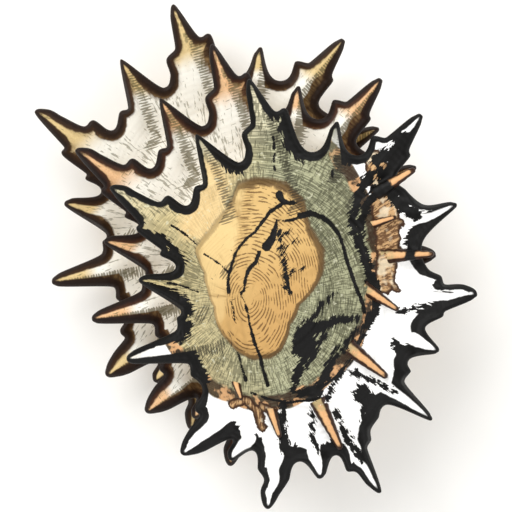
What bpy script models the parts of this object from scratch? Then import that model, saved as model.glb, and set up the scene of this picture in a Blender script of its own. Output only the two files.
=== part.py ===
"""Thorny oyster shell, both valves closed, lying on the scar where the lower valve grew on rock.

Run with: blender --background --python part.py

Every growth stage of the shell leaves a frill: a thin plate whose edge runs out into thorns, with round
bays between them. The lower valve keeps two frills and the upper valve one, all from the same outline,
each a step further towards +X and -Y and further up. Lengths are in millimetres until a mesh is made.
"""

import math

import bmesh
import bpy
from mathutils import Vector
from mathutils.geometry import delaunay_2d_cdt, interpolate_bezier

MM = 0.001

# One frill's edge, clockwise from above, about the frill's own centre. A row is a thorn's tip, a swelling
# of its flank, a knob, a bay between two thorns or a nick between a thorn and its knob. It holds the place
# (x, y), how far the edge runs straight on through that place, and how far a thorn's tip turns up.
EDGE = (
    ("thorn", -15.1, 65.9, 1.1, 6.0),
    ("nick", -7.4, 56.5, 1.5, 0.0),
    ("knob", -4.2, 57.3, 1.7, 0.0),
    ("bay", 3.3, 44.4, 4.6, 0.0),
    ("flank", 9.3, 51.7, 1.5, 0.0),
    ("thorn", 11.3, 53.3, 1.1, 3.5),
    ("bay", 16.6, 43.4, 4.6, 0.0),
    ("knob", 21.7, 49.1, 1.2, 0.0),
    ("nick", 25.6, 48.6, 0.8, 0.0),
    ("flank", 33.6, 54.8, 1.8, 0.0),
    ("thorn", 36.0, 55.2, 1.0, 6.5),
    ("flank", 36.1, 53.0, 1.5, 0.0),
    ("nick", 32.7, 44.9, 1.2, 0.0),
    ("knob", 33.0, 43.1, 0.9, 0.0),
    ("bay", 28.7, 36.4, 1.8, 0.0),
    ("knob", 31.6, 33.2, 1.0, 0.0),
    ("nick", 37.2, 28.6, 2.4, 0.0),
    ("flank", 45.2, 29.3, 1.4, 0.0),
    ("thorn", 46.8, 28.2, 1.0, 4.0),
    ("bay", 36.8, 17.1, 4.0, 0.0),
    ("flank", 38.4, 9.5, 1.6, 0.0),
    ("knob", 42.3, 7.2, 0.9, 0.0),
    ("nick", 43.3, 4.8, 0.8, 0.0),
    ("flank", 49.2, 4.6, 2.0, 0.0),
    ("thorn", 52.6, 2.2, 1.2, 6.0),
    ("flank", 51.4, 0.3, 1.6, 0.0),
    ("nick", 43.4, -3.5, 0.9, 0.0),
    ("knob", 42.8, -4.9, 0.9, 0.0),
    ("bay", 37.6, -8.4, 1.6, 0.0),
    ("thorn", 41.6, -14.6, 0.9, 3.0),
    ("flank", 40.7, -15.9, 1.2, 0.0),
    ("bay", 32.7, -18.1, 2.0, 0.0),
    ("knob", 33.3, -21.4, 0.8, 0.0),
    ("nick", 31.4, -24.5, 1.2, 0.0),
    ("flank", 38.8, -33.9, 1.6, 0.0),
    ("thorn", 39.0, -35.8, 0.9, 6.0),
    ("bay", 25.8, -31.5, 2.2, 0.0),
    ("knob", 23.6, -35.4, 0.9, 0.0),
    ("nick", 21.3, -39.0, 1.2, 0.0),
    ("knob", 21.4, -42.0, 0.7, 0.0),
    ("nick", 20.2, -44.3, 0.9, 0.0),
    ("thorn", 24.1, -57.2, 1.2, 5.5),
    ("flank", 20.3, -55.4, 1.8, 0.0),
    ("nick", 16.8, -51.5, 1.2, 0.0),
    ("knob", 14.1, -51.2, 0.9, 0.0),
    ("bay", 10.8, -46.6, 2.2, 0.0),
    ("flank", 7.6, -52.2, 1.1, 0.0),
    ("thorn", 5.6, -53.4, 1.2, 2.0),
    ("bay", -0.3, -48.5, 2.7, 0.0),
    ("knob", -3.3, -54.0, 1.2, 0.0),
    ("nick", -6.0, -57.9, 0.9, 0.0),
    ("thorn", -9.7, -62.2, 1.4, 5.0),
    ("flank", -11.8, -57.8, 2.0, 0.0),
    ("nick", -10.8, -53.7, 1.2, 0.0),
    ("knob", -12.6, -50.7, 0.9, 0.0),
    ("bay", -13.8, -45.3, 2.0, 0.0),
    ("thorn", -20.4, -48.1, 1.3, 2.0),
    ("flank", -21.7, -45.7, 1.2, 0.0),
    ("bay", -20.3, -41.9, 1.2, 0.0),
    ("flank", -28.7, -45.3, 1.6, 0.0),
    ("flank", -31.8, -46.1, 1.0, 0.0),
    ("thorn", -35.3, -45.9, 1.1, 5.0),
    ("flank", -35.4, -43.1, 1.3, 0.0),
    ("flank", -33.3, -38.9, 1.6, 0.0),
    ("bay", -30.1, -34.6, 0.6, 0.0),
    ("knob", -31.5, -32.5, 1.4, 0.0),
    ("nick", -29.3, -26.7, 2.7, 0.0),
    ("knob", -32.7, -22.7, 0.9, 0.0),
    ("bay", -33.4, -19.3, 1.2, 0.0),
    ("flank", -50.2, -18.8, 1.5, 0.0),
    ("thorn", -51.7, -17.3, 0.9, 5.5),
    ("flank", -49.9, -15.1, 1.6, 0.0),
    ("bay", -37.1, -9.0, 1.5, 0.0),
    ("knob", -36.9, -5.4, 0.7, 0.0),
    ("nick", -35.7, -3.3, 1.5, 0.0),
    ("thorn", -48.1, 5.7, 1.3, 4.5),
    ("flank", -46.1, 7.6, 1.4, 0.0),
    ("bay", -37.3, 9.6, 2.4, 0.0),
    ("knob", -41.9, 13.5, 0.9, 0.0),
    ("nick", -41.6, 15.0, 0.6, 0.0),
    ("knob", -48.9, 21.0, 1.3, 0.0),
    ("nick", -48.1, 22.9, 0.6, 0.0),
    ("thorn", -56.6, 33.4, 1.2, 6.5),
    ("flank", -53.0, 34.3, 2.0, 0.0),
    ("flank", -48.5, 32.2, 1.6, 0.0),
    ("nick", -42.1, 29.4, 1.2, 0.0),
    ("knob", -39.5, 31.3, 1.4, 0.0),
    ("bay", -33.7, 28.4, 2.0, 0.0),
    ("knob", -31.5, 33.9, 1.2, 0.0),
    ("nick", -29.1, 34.9, 0.7, 0.0),
    ("thorn", -31.1, 49.5, 1.1, 5.0),
    ("bay", -18.2, 41.3, 1.8, 0.0),
    ("flank", -16.3, 44.6, 1.5, 0.0),
    ("knob", -17.4, 49.7, 1.4, 0.0),
    ("nick", -14.8, 52.8, 0.9, 0.0),
    ("flank", -16.1, 62.6, 1.5, 0.0),
)

# A frill's place: its centre, the height of its plate, its size against EDGE, the slope at which its
# plate climbs outwards, how much of each thorn's own turn it has, and how far it thickens towards the
# valve's wall, above and below.
FRILL_FIRST = {
    "centre": (-11.7, 12.1), "level": 12.0, "size": 1.0,
    "dish": 0.34, "turn": 0.5, "above": 2.0, "below": 9.0,
}
FRILL_SECOND = {
    "centre": (-0.15, 0.8), "level": 24.5, "size": 0.979,
    "dish": 0.28, "turn": 0.4, "above": 2.5, "below": 8.0,
}
FRILL_THIRD = {
    "centre": (10.9, -10.6), "level": 39.0, "size": 0.982,
    "dish": 0.12, "turn": 1.0, "above": 0.0, "below": 4.4,
}
BODY_HALF = (36.0, 45.0)  # the frill inside its bays, as an ellipse
DISH_START = 0.78  # the share of that ellipse where the plate starts to climb
PLATE_HALF = 1.1
RIM_HALF = 0.55
EDGE_STEPS = 3
BOWL_OUT = 0.98  # the share of the ellipse where the plate starts to thicken inwards
BOWL_IN = 0.45
BOWL_RINGS = (0.5, 0.66, 0.82, 0.94)
BOWL_POINTS = 24

# A rib runs up the middle of every thorn, from well inside the frill to the tip.
RIB_HEIGHT = 2.7
RIB_BELOW = 0.5  # the share of the rib that also stands out underneath
RIB_STATIONS = (-0.45, -0.15, 0.15, 0.4, 0.65, 0.88)
RIB_START = -0.6
RIB_END = 1.05
RIB_HALF = 3.0
RIB_TAPER = 0.8  # how much of its height and width a rib loses on the way to the tip
TURN_START = 0.12  # the share of a thorn's length where it starts to turn up
TURN_BEND = 1.6

# The upper valve's dome, round its beak, and the growth ledges that step down from it.
BEAK = (-14.5, 1.0)
DOME_HEIGHT = 15.0
DOME_FALL = 1.2
DOME_RINGS = (0.18, 0.4, 0.62, 0.82)
RING_POINTS = 22
LEDGES = (
    {"centre": (-10.5, 10.0), "half": (19.6, 25.6), "drop": 1.3},
    {"centre": (0.8, -1.6), "half": (18.4, 27.4), "drop": 1.0},
    {"centre": (1.8, -1.2), "half": (23.4, 30.6), "drop": 0.9},
)
LEDGE_SOFT = 0.035
LEDGE_POINTS = 26
LEDGE_FADE = 4.0  # below this height of the dome a ledge grows lower

# Thorns of the inner row, which stand on the upper valve: foot, tip, thickness at the foot.
INNER_THORNS = (
    ((20.5, 30.5), (34.5, 39.3), 2.5),
    ((24.0, 13.0), (40.2, 13.8), 2.5),
    ((18.5, 4.0), (29.4, -3.0), 2.2),
    ((14.0, -13.5), (26.1, -23.1), 2.7),
    ((5.0, -29.5), (12.3, -44.7), 2.7),
    ((-9.4, -30.0), (-6.0, -41.1), 2.0),
    ((19.5, 22.0), (28.8, 24.9), 1.7),
    ((-19.6, -22.5), (-17.4, -29.7), 1.6),
)
INNER_STATIONS = (-0.5, -0.25, 0.0, 0.3, 0.6)
INNER_STEPS = 6
INNER_SINK = 1.2
INNER_CLEAR = 2.6  # height of an inner thorn's tip over the dome or the frill below it
INNER_POINT = 0.22
INNER_BOW = 1.6
INNER_OVER = 0.2  # the least height of an inner thorn's middle line over the dome, at the tip

# The two valves' walls meet on one level, the seam, round one common hollow.
SEAM_LEVEL = 33.0
SEAM_GAP = 0.3
SEAM_CENTRE = (5.7, -5.7)
SCAR_CENTRE = (-1.0, 1.0)
LONG_OVER_WIDE = 1.22
CUP_WALL = ((29.0, 33.0), (30.2, 29.0), (31.0, 21.0), (30.2, 13.0), (27.6, 6.0), (24.6, 1.8), (21.5, 0.0))
COLLAR_WALL = ((29.0, 33.3), (30.6, 39.5))
TURN_STEPS = 40
HOLLOW_HALF = (23.0, 28.0)
HOLLOW_UP = 13.5
HOLLOW_DOWN = 26.0
HOLLOW_MERIDIANS = 28
HOLLOW_ROWS = 14
WELD = 0.00001  # points closer than this many metres are one

SHELL_CREAM = (0.80, 0.74, 0.60, 1.0)
SHELL_SAGE = (0.72, 0.70, 0.56, 1.0)
SHELL_ROUGHNESS = 0.5


def start_empty():
    for thing in list(bpy.data.objects):
        bpy.data.objects.remove(thing, do_unlink=True)


def collection(name):
    made = bpy.data.collections.new(name)
    bpy.context.scene.collection.children.link(made)
    return made


def shell_material(name, colour):
    made = bpy.data.materials.new(name)
    made.use_nodes = True
    shader = made.node_tree.nodes["Principled BSDF"]
    shader.inputs["Base Color"].default_value = colour
    shader.inputs["Roughness"].default_value = SHELL_ROUGHNESS
    return made


def edge_points():
    """The frill's edge as points: a Bezier through every row of EDGE, each handle on the corner's bisector."""
    places = [Vector((row[1], row[2])) for row in EDGE]
    reaches = [row[3] for row in EDGE]
    count = len(places)
    along = []
    for i, place in enumerate(places):
        before = (place - places[i - 1]).normalized()
        after = (places[(i + 1) % count] - place).normalized()
        along.append((before + after).normalized())
    points = []
    for i in range(count):
        j = (i + 1) % count
        curve = interpolate_bezier(
            places[i],
            places[i] + along[i] * reaches[i],
            places[j] - along[j] * reaches[j],
            places[j],
            EDGE_STEPS + 1,
        )
        points += [p.to_2d() for p in curve[:-1]]
    return points


def neighbour_bay(index, step):
    """The nearest bay before or after a row of EDGE."""
    i = index
    while EDGE[i % len(EDGE)][0] != "bay":
        i += step
    row = EDGE[i % len(EDGE)]
    return Vector((row[1], row[2]))


def thorn_lines():
    """Each thorn's root, half-way between the bays on its two sides, its tip and its turn."""
    lines = []
    for i, row in enumerate(EDGE):
        if row[0] == "thorn":
            root = (neighbour_bay(i, -1) + neighbour_bay(i, 1)) / 2
            lines.append((root, Vector((row[1], row[2])), row[4]))
    return lines


EDGE_OUTLINE = edge_points()
THORNS = thorn_lines()


def smooth(share):
    share = min(max(share, 0.0), 1.0)
    return share * share * (3.0 - 2.0 * share)


def on_thorn(point, thorn):
    """(share of the way from root to tip, distance off the middle line)."""
    root, tip, _ = thorn
    line = tip - root
    share = (point - root).dot(line) / line.length_squared
    away = (point - root - line * min(max(share, RIB_START), 1.0)).length
    return share, away


def rib_height(point, thorns):
    """How far the plate's top stands up here for the rib of the nearest thorn."""
    best = 0.0
    for thorn in thorns:
        share, away = on_thorn(point, thorn)
        if share < RIB_START or share > RIB_END:
            continue
        taper = 1.0 - RIB_TAPER * max(share, 0.0)
        rise = smooth((share - RIB_START) / abs(RIB_START))
        best = max(best, RIB_HEIGHT * taper * rise * math.exp(-((away / (RIB_HALF * taper)) ** 2)))
    return best


def thorn_turn(point):
    """How far the plate turns up here, from the thorn that the point lies nearest."""
    share, away, turn = min(
        ((*on_thorn(point, thorn), thorn[2]) for thorn in THORNS), key=lambda found: found[1]
    )
    return turn * max(share - TURN_START, 0.0) ** TURN_BEND


def plate_level(frill, point):
    """Height of the middle of a frill's plate."""
    out = math.hypot(point.x / BODY_HALF[0], point.y / BODY_HALF[1])
    climb = frill["dish"] * max(out - DISH_START, 0.0) * BODY_HALF[0]
    return frill["level"] + climb + frill["turn"] * thorn_turn(point)


def bowl(point):
    """0 outside the bays and 1 well inside them: how far the plate has thickened towards the wall."""
    out = math.hypot(point.x / BODY_HALF[0], point.y / BODY_HALF[1])
    return smooth((BOWL_OUT - out) / (BOWL_OUT - BOWL_IN))


def plate_top(frill, point, on_rim, thorns):
    lift = RIM_HALF if on_rim else PLATE_HALF + rib_height(point, thorns) + frill["above"] * bowl(point)
    return plate_level(frill, point) + lift


def plate_bottom(frill, point, on_rim):
    drop = RIM_HALF if on_rim else PLATE_HALF + RIB_BELOW * rib_height(point, THORNS)
    return plate_level(frill, point) - drop - (0.0 if on_rim else frill["below"] * bowl(point))


def growth(point, centre, half, beak):
    """0 at the beak and 1 on the ellipse: the share of the way out along the ray from the beak."""
    q = Vector(((beak[0] - centre[0]) / half[0], (beak[1] - centre[1]) / half[1]))
    v = Vector(((point.x - beak[0]) / half[0], (point.y - beak[1]) / half[1]))
    if v.length < 1e-6:
        return 0.0
    reach = -q.dot(v) + math.sqrt(q.dot(v) ** 2 - v.length_squared * (q.length_squared - 1.0))
    return v.length_squared / reach


def dome_height(point):
    """Height of the upper valve's dome over its frill's plate, with the growth ledges."""
    out = growth(point, (0.0, -1.0), BODY_HALF, BEAK)
    height = DOME_HEIGHT * max(1.0 - out * out, 0.0) ** DOME_FALL
    for ledge in LEDGES:
        ring = growth(point, ledge["centre"], ledge["half"], ledge["centre"])
        inside = 1.0 - smooth((ring - 1.0 + LEDGE_SOFT) / (2.0 * LEDGE_SOFT))
        height += ledge["drop"] * inside * min(height / LEDGE_FADE, 1.0)
    return height


def ellipse(centre, half, share, count):
    turn = 2.0 * math.pi / count
    middle = Vector(centre)
    return [
        middle + share * Vector((half[0] * math.cos(turn * i), half[1] * math.sin(turn * i)))
        for i in range(count)
    ]


def growth_ring(share, count):
    """A growth line: the body ellipse shrunk towards the beak."""
    full = ellipse((0.0, -1.0), BODY_HALF, 1.0, count)
    beak = Vector(BEAK)
    return [beak + (point - beak) * share for point in full]


def rib_points(thorns, stations):
    return [[root + (tip - root) * share for share in stations] for root, tip, _ in thorns]


def lifted_plate(name, frill, loops, lines, single, top, bottom):
    """A closed plate in a frill's outline. The plan is triangulated once and lifted to two heights.

    Faces are made by hand here, because no modifier lifts a thorny outline over ribs and ledges.
    """
    flat = list(EDGE_OUTLINE)
    links = [(i, (i + 1) % len(flat)) for i in range(len(flat))]
    for loop in loops:
        start = len(flat)
        flat += loop
        links += [(start + i, start + (i + 1) % len(loop)) for i in range(len(loop))]
    for line in lines:
        start = len(flat)
        flat += line
        links += [(start + i, start + i + 1) for i in range(len(line) - 1)]
    flat += single
    border = [list(reversed(range(len(EDGE_OUTLINE))))]
    points, _, faces, source, _, within = delaunay_2d_cdt(flat, links, border, 0, 1e-5, True)
    faces = [face for face, found in zip(faces, within) if found]
    rim = [any(i < len(EDGE_OUTLINE) for i in found) for found in source]

    mesh = bmesh.new()
    size = frill["size"]
    x0, y0 = frill["centre"]
    sheets = []
    for height in (top, bottom):
        sheets.append([
            mesh.verts.new((x0 + p.x * size, y0 + p.y * size, height(p, on_rim)))
            for p, on_rim in zip(points, rim)
        ])
    upper, lower = sheets
    for face in faces:
        mesh.faces.new([upper[i] for i in face])
        mesh.faces.new([lower[i] for i in reversed(face)])
    mesh.verts.index_update()
    open_edges = [[v.index for v in e.verts] for e in mesh.edges if len(e.link_faces) == 1]
    for a, b in open_edges:
        if a < len(points):
            mesh.faces.new((upper[a], upper[b], lower[b], lower[a]))
    bmesh.ops.recalc_face_normals(mesh, faces=mesh.faces[:])
    bmesh.ops.triangulate(mesh, faces=[f for f in mesh.faces if len(f.verts) > 3])
    return add_object(name, mesh)


def add_object(name, mesh):
    """A mesh in millimetres as an object in metres."""
    bmesh.ops.scale(mesh, vec=(MM, MM, MM), verts=mesh.verts[:])
    data = bpy.data.meshes.new(name)
    mesh.to_mesh(data)
    mesh.free()
    made = bpy.data.objects.new(name, data)
    PARTS.objects.link(made)
    return made


def plain_frill(name, frill):
    """A frill of the lower valve: a ribbed plate that thickens into a bowl round the cup's wall."""
    rings = [ellipse((0.0, 0.0), BODY_HALF, share, BOWL_POINTS) for share in BOWL_RINGS]

    def top(point, on_rim):
        return plate_top(frill, point, on_rim, THORNS)

    def bottom(point, on_rim):
        return plate_bottom(frill, point, on_rim)

    return lifted_plate(name, frill, rings, rib_points(THORNS, RIB_STATIONS[2:]), [], top, bottom)


def domed_frill(name, frill):
    """The upper valve's frill with the dome, the beak and the growth ledges in one plate."""
    rings = [growth_ring(share, RING_POINTS) for share in DOME_RINGS]
    for ledge in LEDGES:
        for share in (1.0 - LEDGE_SOFT, 1.0 + LEDGE_SOFT):
            rings.append(ellipse(ledge["centre"], ledge["half"], share, LEDGE_POINTS))
    inner = [(Vector(foot), Vector(tip), 0.0) for foot, tip, _ in INNER_THORNS]

    def top(point, on_rim):
        return plate_top(frill, point, on_rim, THORNS + inner) + dome_height(point)

    def bottom(point, on_rim):
        return plate_bottom(frill, point, on_rim)

    lines = rib_points(THORNS, RIB_STATIONS[3:]) + rib_points(inner, INNER_STATIONS)
    return lifted_plate(name, frill, rings, lines, [Vector(BEAK)], top, bottom)


def turned_wall(name, wall):
    """A turned wall, closed at both ends, stretched to the shell's plan and leaning with its growth."""
    profile = bpy.data.meshes.new(name)
    rows = [(0.0, wall[0][1])] + list(wall) + [(0.0, wall[-1][1])]
    links = [(i, i + 1) for i in range(len(rows) - 1)]
    profile.from_pydata([(r * MM, 0.0, z * MM) for r, z in rows], links, [])
    turned = bpy.data.objects.new(name, profile)
    PARTS.objects.link(turned)
    screw = turned.modifiers.new("turn", "SCREW")
    screw.steps = screw.render_steps = TURN_STEPS
    screw.use_merge_vertices = True
    screw.merge_threshold = WELD
    solid = bpy.data.meshes.new_from_object(turned.evaluated_get(bpy.context.evaluated_depsgraph_get()))
    bpy.data.objects.remove(turned)
    mesh = bmesh.new()
    mesh.from_mesh(solid)
    for vert in mesh.verts:
        lean = vert.co.z / (SEAM_LEVEL * MM)
        x0 = SCAR_CENTRE[0] + (SEAM_CENTRE[0] - SCAR_CENTRE[0]) * min(lean, 1.0)
        y0 = SCAR_CENTRE[1] + (SEAM_CENTRE[1] - SCAR_CENTRE[1]) * min(lean, 1.0)
        vert.co = Vector((vert.co.x + x0 * MM, vert.co.y * LONG_OVER_WIDE + y0 * MM, vert.co.z))
    bmesh.ops.scale(mesh, vec=(1 / MM, 1 / MM, 1 / MM), verts=mesh.verts[:])
    bmesh.ops.recalc_face_normals(mesh, faces=mesh.faces[:])
    bmesh.ops.triangulate(mesh, faces=mesh.faces[:])
    return add_object(name, mesh)


def hollow_cutter():
    """The room inside the closed valves: two half ellipsoids on the seam."""
    mesh = bmesh.new()
    bmesh.ops.create_uvsphere(mesh, u_segments=HOLLOW_MERIDIANS, v_segments=HOLLOW_ROWS, radius=1.0)
    for vert in mesh.verts:
        tall = HOLLOW_UP if vert.co.z > 0 else HOLLOW_DOWN
        vert.co = Vector((
            vert.co.x * HOLLOW_HALF[0] + SEAM_CENTRE[0],
            vert.co.y * HOLLOW_HALF[1] + SEAM_CENTRE[1],
            vert.co.z * tall + SEAM_LEVEL + SEAM_GAP / 2,
        ))
    bmesh.ops.triangulate(mesh, faces=mesh.faces[:])
    cutter = add_object("hollow_cutter", mesh)
    PARTS.objects.unlink(cutter)
    CUTTERS.objects.link(cutter)
    cutter.hide_render = True
    cutter.display_type = "WIRE"
    return cutter


def inner_thorn(name, foot, tip, thickness):
    """A thorn that stands on the upper valve, as a tapered tube along a bowed line."""
    frill = FRILL_THIRD
    start, end = Vector(foot), Vector(tip)

    def ground(point):
        return frill["level"] + PLATE_HALF + dome_height(point)

    low = ground(start) - INNER_SINK
    high = max(ground(end), frill["level"]) + INNER_CLEAR
    curve = bpy.data.curves.new(name, "CURVE")
    curve.dimensions = "3D"
    curve.bevel_depth = thickness * MM
    curve.bevel_resolution = 1
    curve.use_fill_caps = True
    line = curve.splines.new("POLY")
    line.points.add(INNER_STEPS)
    for i, point in enumerate(line.points):
        share = i / INNER_STEPS
        flat = start.lerp(end, share)
        bow = INNER_BOW * math.sin(math.pi * share)
        height = max(low + (high - low) * share + bow, ground(flat) + INNER_OVER * share)
        point.co = (
            (frill["centre"][0] + flat.x) * MM,
            (frill["centre"][1] + flat.y) * MM,
            height * MM,
            1.0,
        )
        point.radius = 1.0 - (1.0 - INNER_POINT) * share**1.1
    tube = bpy.data.objects.new(name, curve)
    PARTS.objects.link(tube)
    solid = bpy.data.meshes.new_from_object(tube.evaluated_get(bpy.context.evaluated_depsgraph_get()))
    bpy.data.objects.remove(tube)
    mesh = bmesh.new()
    mesh.from_mesh(solid)
    bmesh.ops.remove_doubles(mesh, verts=mesh.verts[:], dist=WELD)
    bmesh.ops.recalc_face_normals(mesh, faces=mesh.faces[:])
    bmesh.ops.scale(mesh, vec=(1 / MM, 1 / MM, 1 / MM), verts=mesh.verts[:])
    return add_object(name, mesh)


def join(base, other, operation):
    """Applies one Boolean to base, and drops the other solid unless it is a cutter."""
    step = base.modifiers.new(operation.lower(), "BOOLEAN")
    step.operation = operation
    step.solver = "EXACT"
    step.object = other
    bpy.context.view_layer.update()
    solid = bpy.data.meshes.new_from_object(base.evaluated_get(bpy.context.evaluated_depsgraph_get()))
    base.modifiers.remove(step)
    base.data = solid
    if operation == "UNION":
        bpy.data.objects.remove(other)


def centre_on_origin(valves):
    """Puts the middle of the whole shell's plan on the origin, with the scar on the ground."""
    corners = [valve.matrix_world @ v.co for valve in valves for v in valve.data.vertices]
    shift = [-(min(c[i] for c in corners) + max(c[i] for c in corners)) / 2 for i in (0, 1)]
    for valve in valves:
        for vert in valve.data.vertices:
            vert.co.x += shift[0]
            vert.co.y += shift[1]
    print("plan shift mm", [round(s / MM, 3) for s in shift])


def main():
    hollow = hollow_cutter()

    lower = turned_wall("lower_valve", CUP_WALL)
    join(lower, plain_frill("first_frill", FRILL_FIRST), "UNION")
    join(lower, plain_frill("second_frill", FRILL_SECOND), "UNION")
    join(lower, hollow, "DIFFERENCE")

    upper = domed_frill("upper_valve", FRILL_THIRD)
    join(upper, turned_wall("collar", COLLAR_WALL), "UNION")
    for i, (foot, tip, thickness) in enumerate(INNER_THORNS):
        join(upper, inner_thorn(f"inner_thorn_{i}", foot, tip, thickness), "UNION")
    join(upper, hollow, "DIFFERENCE")

    centre_on_origin([lower, upper])
    for valve, colour in ((lower, SHELL_SAGE), (upper, SHELL_CREAM)):
        valve.data.materials.clear()
        valve.data.materials.append(shell_material(valve.name, colour))
        print(valve.name, len(valve.data.polygons), "faces")


start_empty()
PARTS = collection("thorny_oyster_shell")
CUTTERS = collection("cutters")
main()
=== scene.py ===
# %% [markdown]
# # A thorny oyster shell
#
# This part is a bivalve: a deep lower valve that once grew fixed to rock, and a domed upper valve. Every
# growth stage left a frill, a thin plate whose edge runs out into thorns. All lengths in this file are in
# millimetres until a mesh is made, because a shell is easier to think about in millimetres.

import math

import bpy
import numpy as np
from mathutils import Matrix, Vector, kdtree, noise
from mathutils.geometry import delaunay_2d_cdt, interpolate_bezier


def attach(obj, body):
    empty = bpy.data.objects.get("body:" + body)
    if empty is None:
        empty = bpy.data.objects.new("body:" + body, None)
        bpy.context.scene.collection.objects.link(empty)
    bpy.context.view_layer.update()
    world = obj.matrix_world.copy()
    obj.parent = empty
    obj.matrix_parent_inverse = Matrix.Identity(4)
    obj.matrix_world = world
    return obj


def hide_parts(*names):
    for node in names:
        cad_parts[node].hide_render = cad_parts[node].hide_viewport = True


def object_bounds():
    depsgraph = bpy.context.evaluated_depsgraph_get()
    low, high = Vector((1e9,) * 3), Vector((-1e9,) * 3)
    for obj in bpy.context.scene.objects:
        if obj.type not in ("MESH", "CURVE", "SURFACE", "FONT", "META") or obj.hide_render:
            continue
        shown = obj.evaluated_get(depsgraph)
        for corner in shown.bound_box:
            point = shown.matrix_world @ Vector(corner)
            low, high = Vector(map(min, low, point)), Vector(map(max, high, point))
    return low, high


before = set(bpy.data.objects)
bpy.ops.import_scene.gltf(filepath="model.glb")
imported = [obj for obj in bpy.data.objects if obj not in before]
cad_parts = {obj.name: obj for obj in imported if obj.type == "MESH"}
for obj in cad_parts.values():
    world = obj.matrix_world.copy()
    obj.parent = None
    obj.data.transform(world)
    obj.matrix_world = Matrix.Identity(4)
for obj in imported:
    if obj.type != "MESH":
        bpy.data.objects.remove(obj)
CAD_BOX = [list(corner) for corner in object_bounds()]
MM = 0.001
print("valves", sorted(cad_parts), "box mm", [round(c / MM, 1) for c in CAD_BOX[1]])

# %% [markdown]
# ## One frill's edge
#
# The three frills share one edge: long thorns, with small knobs on their flanks and round bays between
# them. Such an edge could be drawn point by point, but a list of its turning places is shorter, and a
# Bezier through them gives the round stretches. A row holds the kind of place, its x and y, and how far
# the edge runs straight on through it. A thorn's row also says how far its tip turns up. A flank is where
# a thorn swells.

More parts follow.
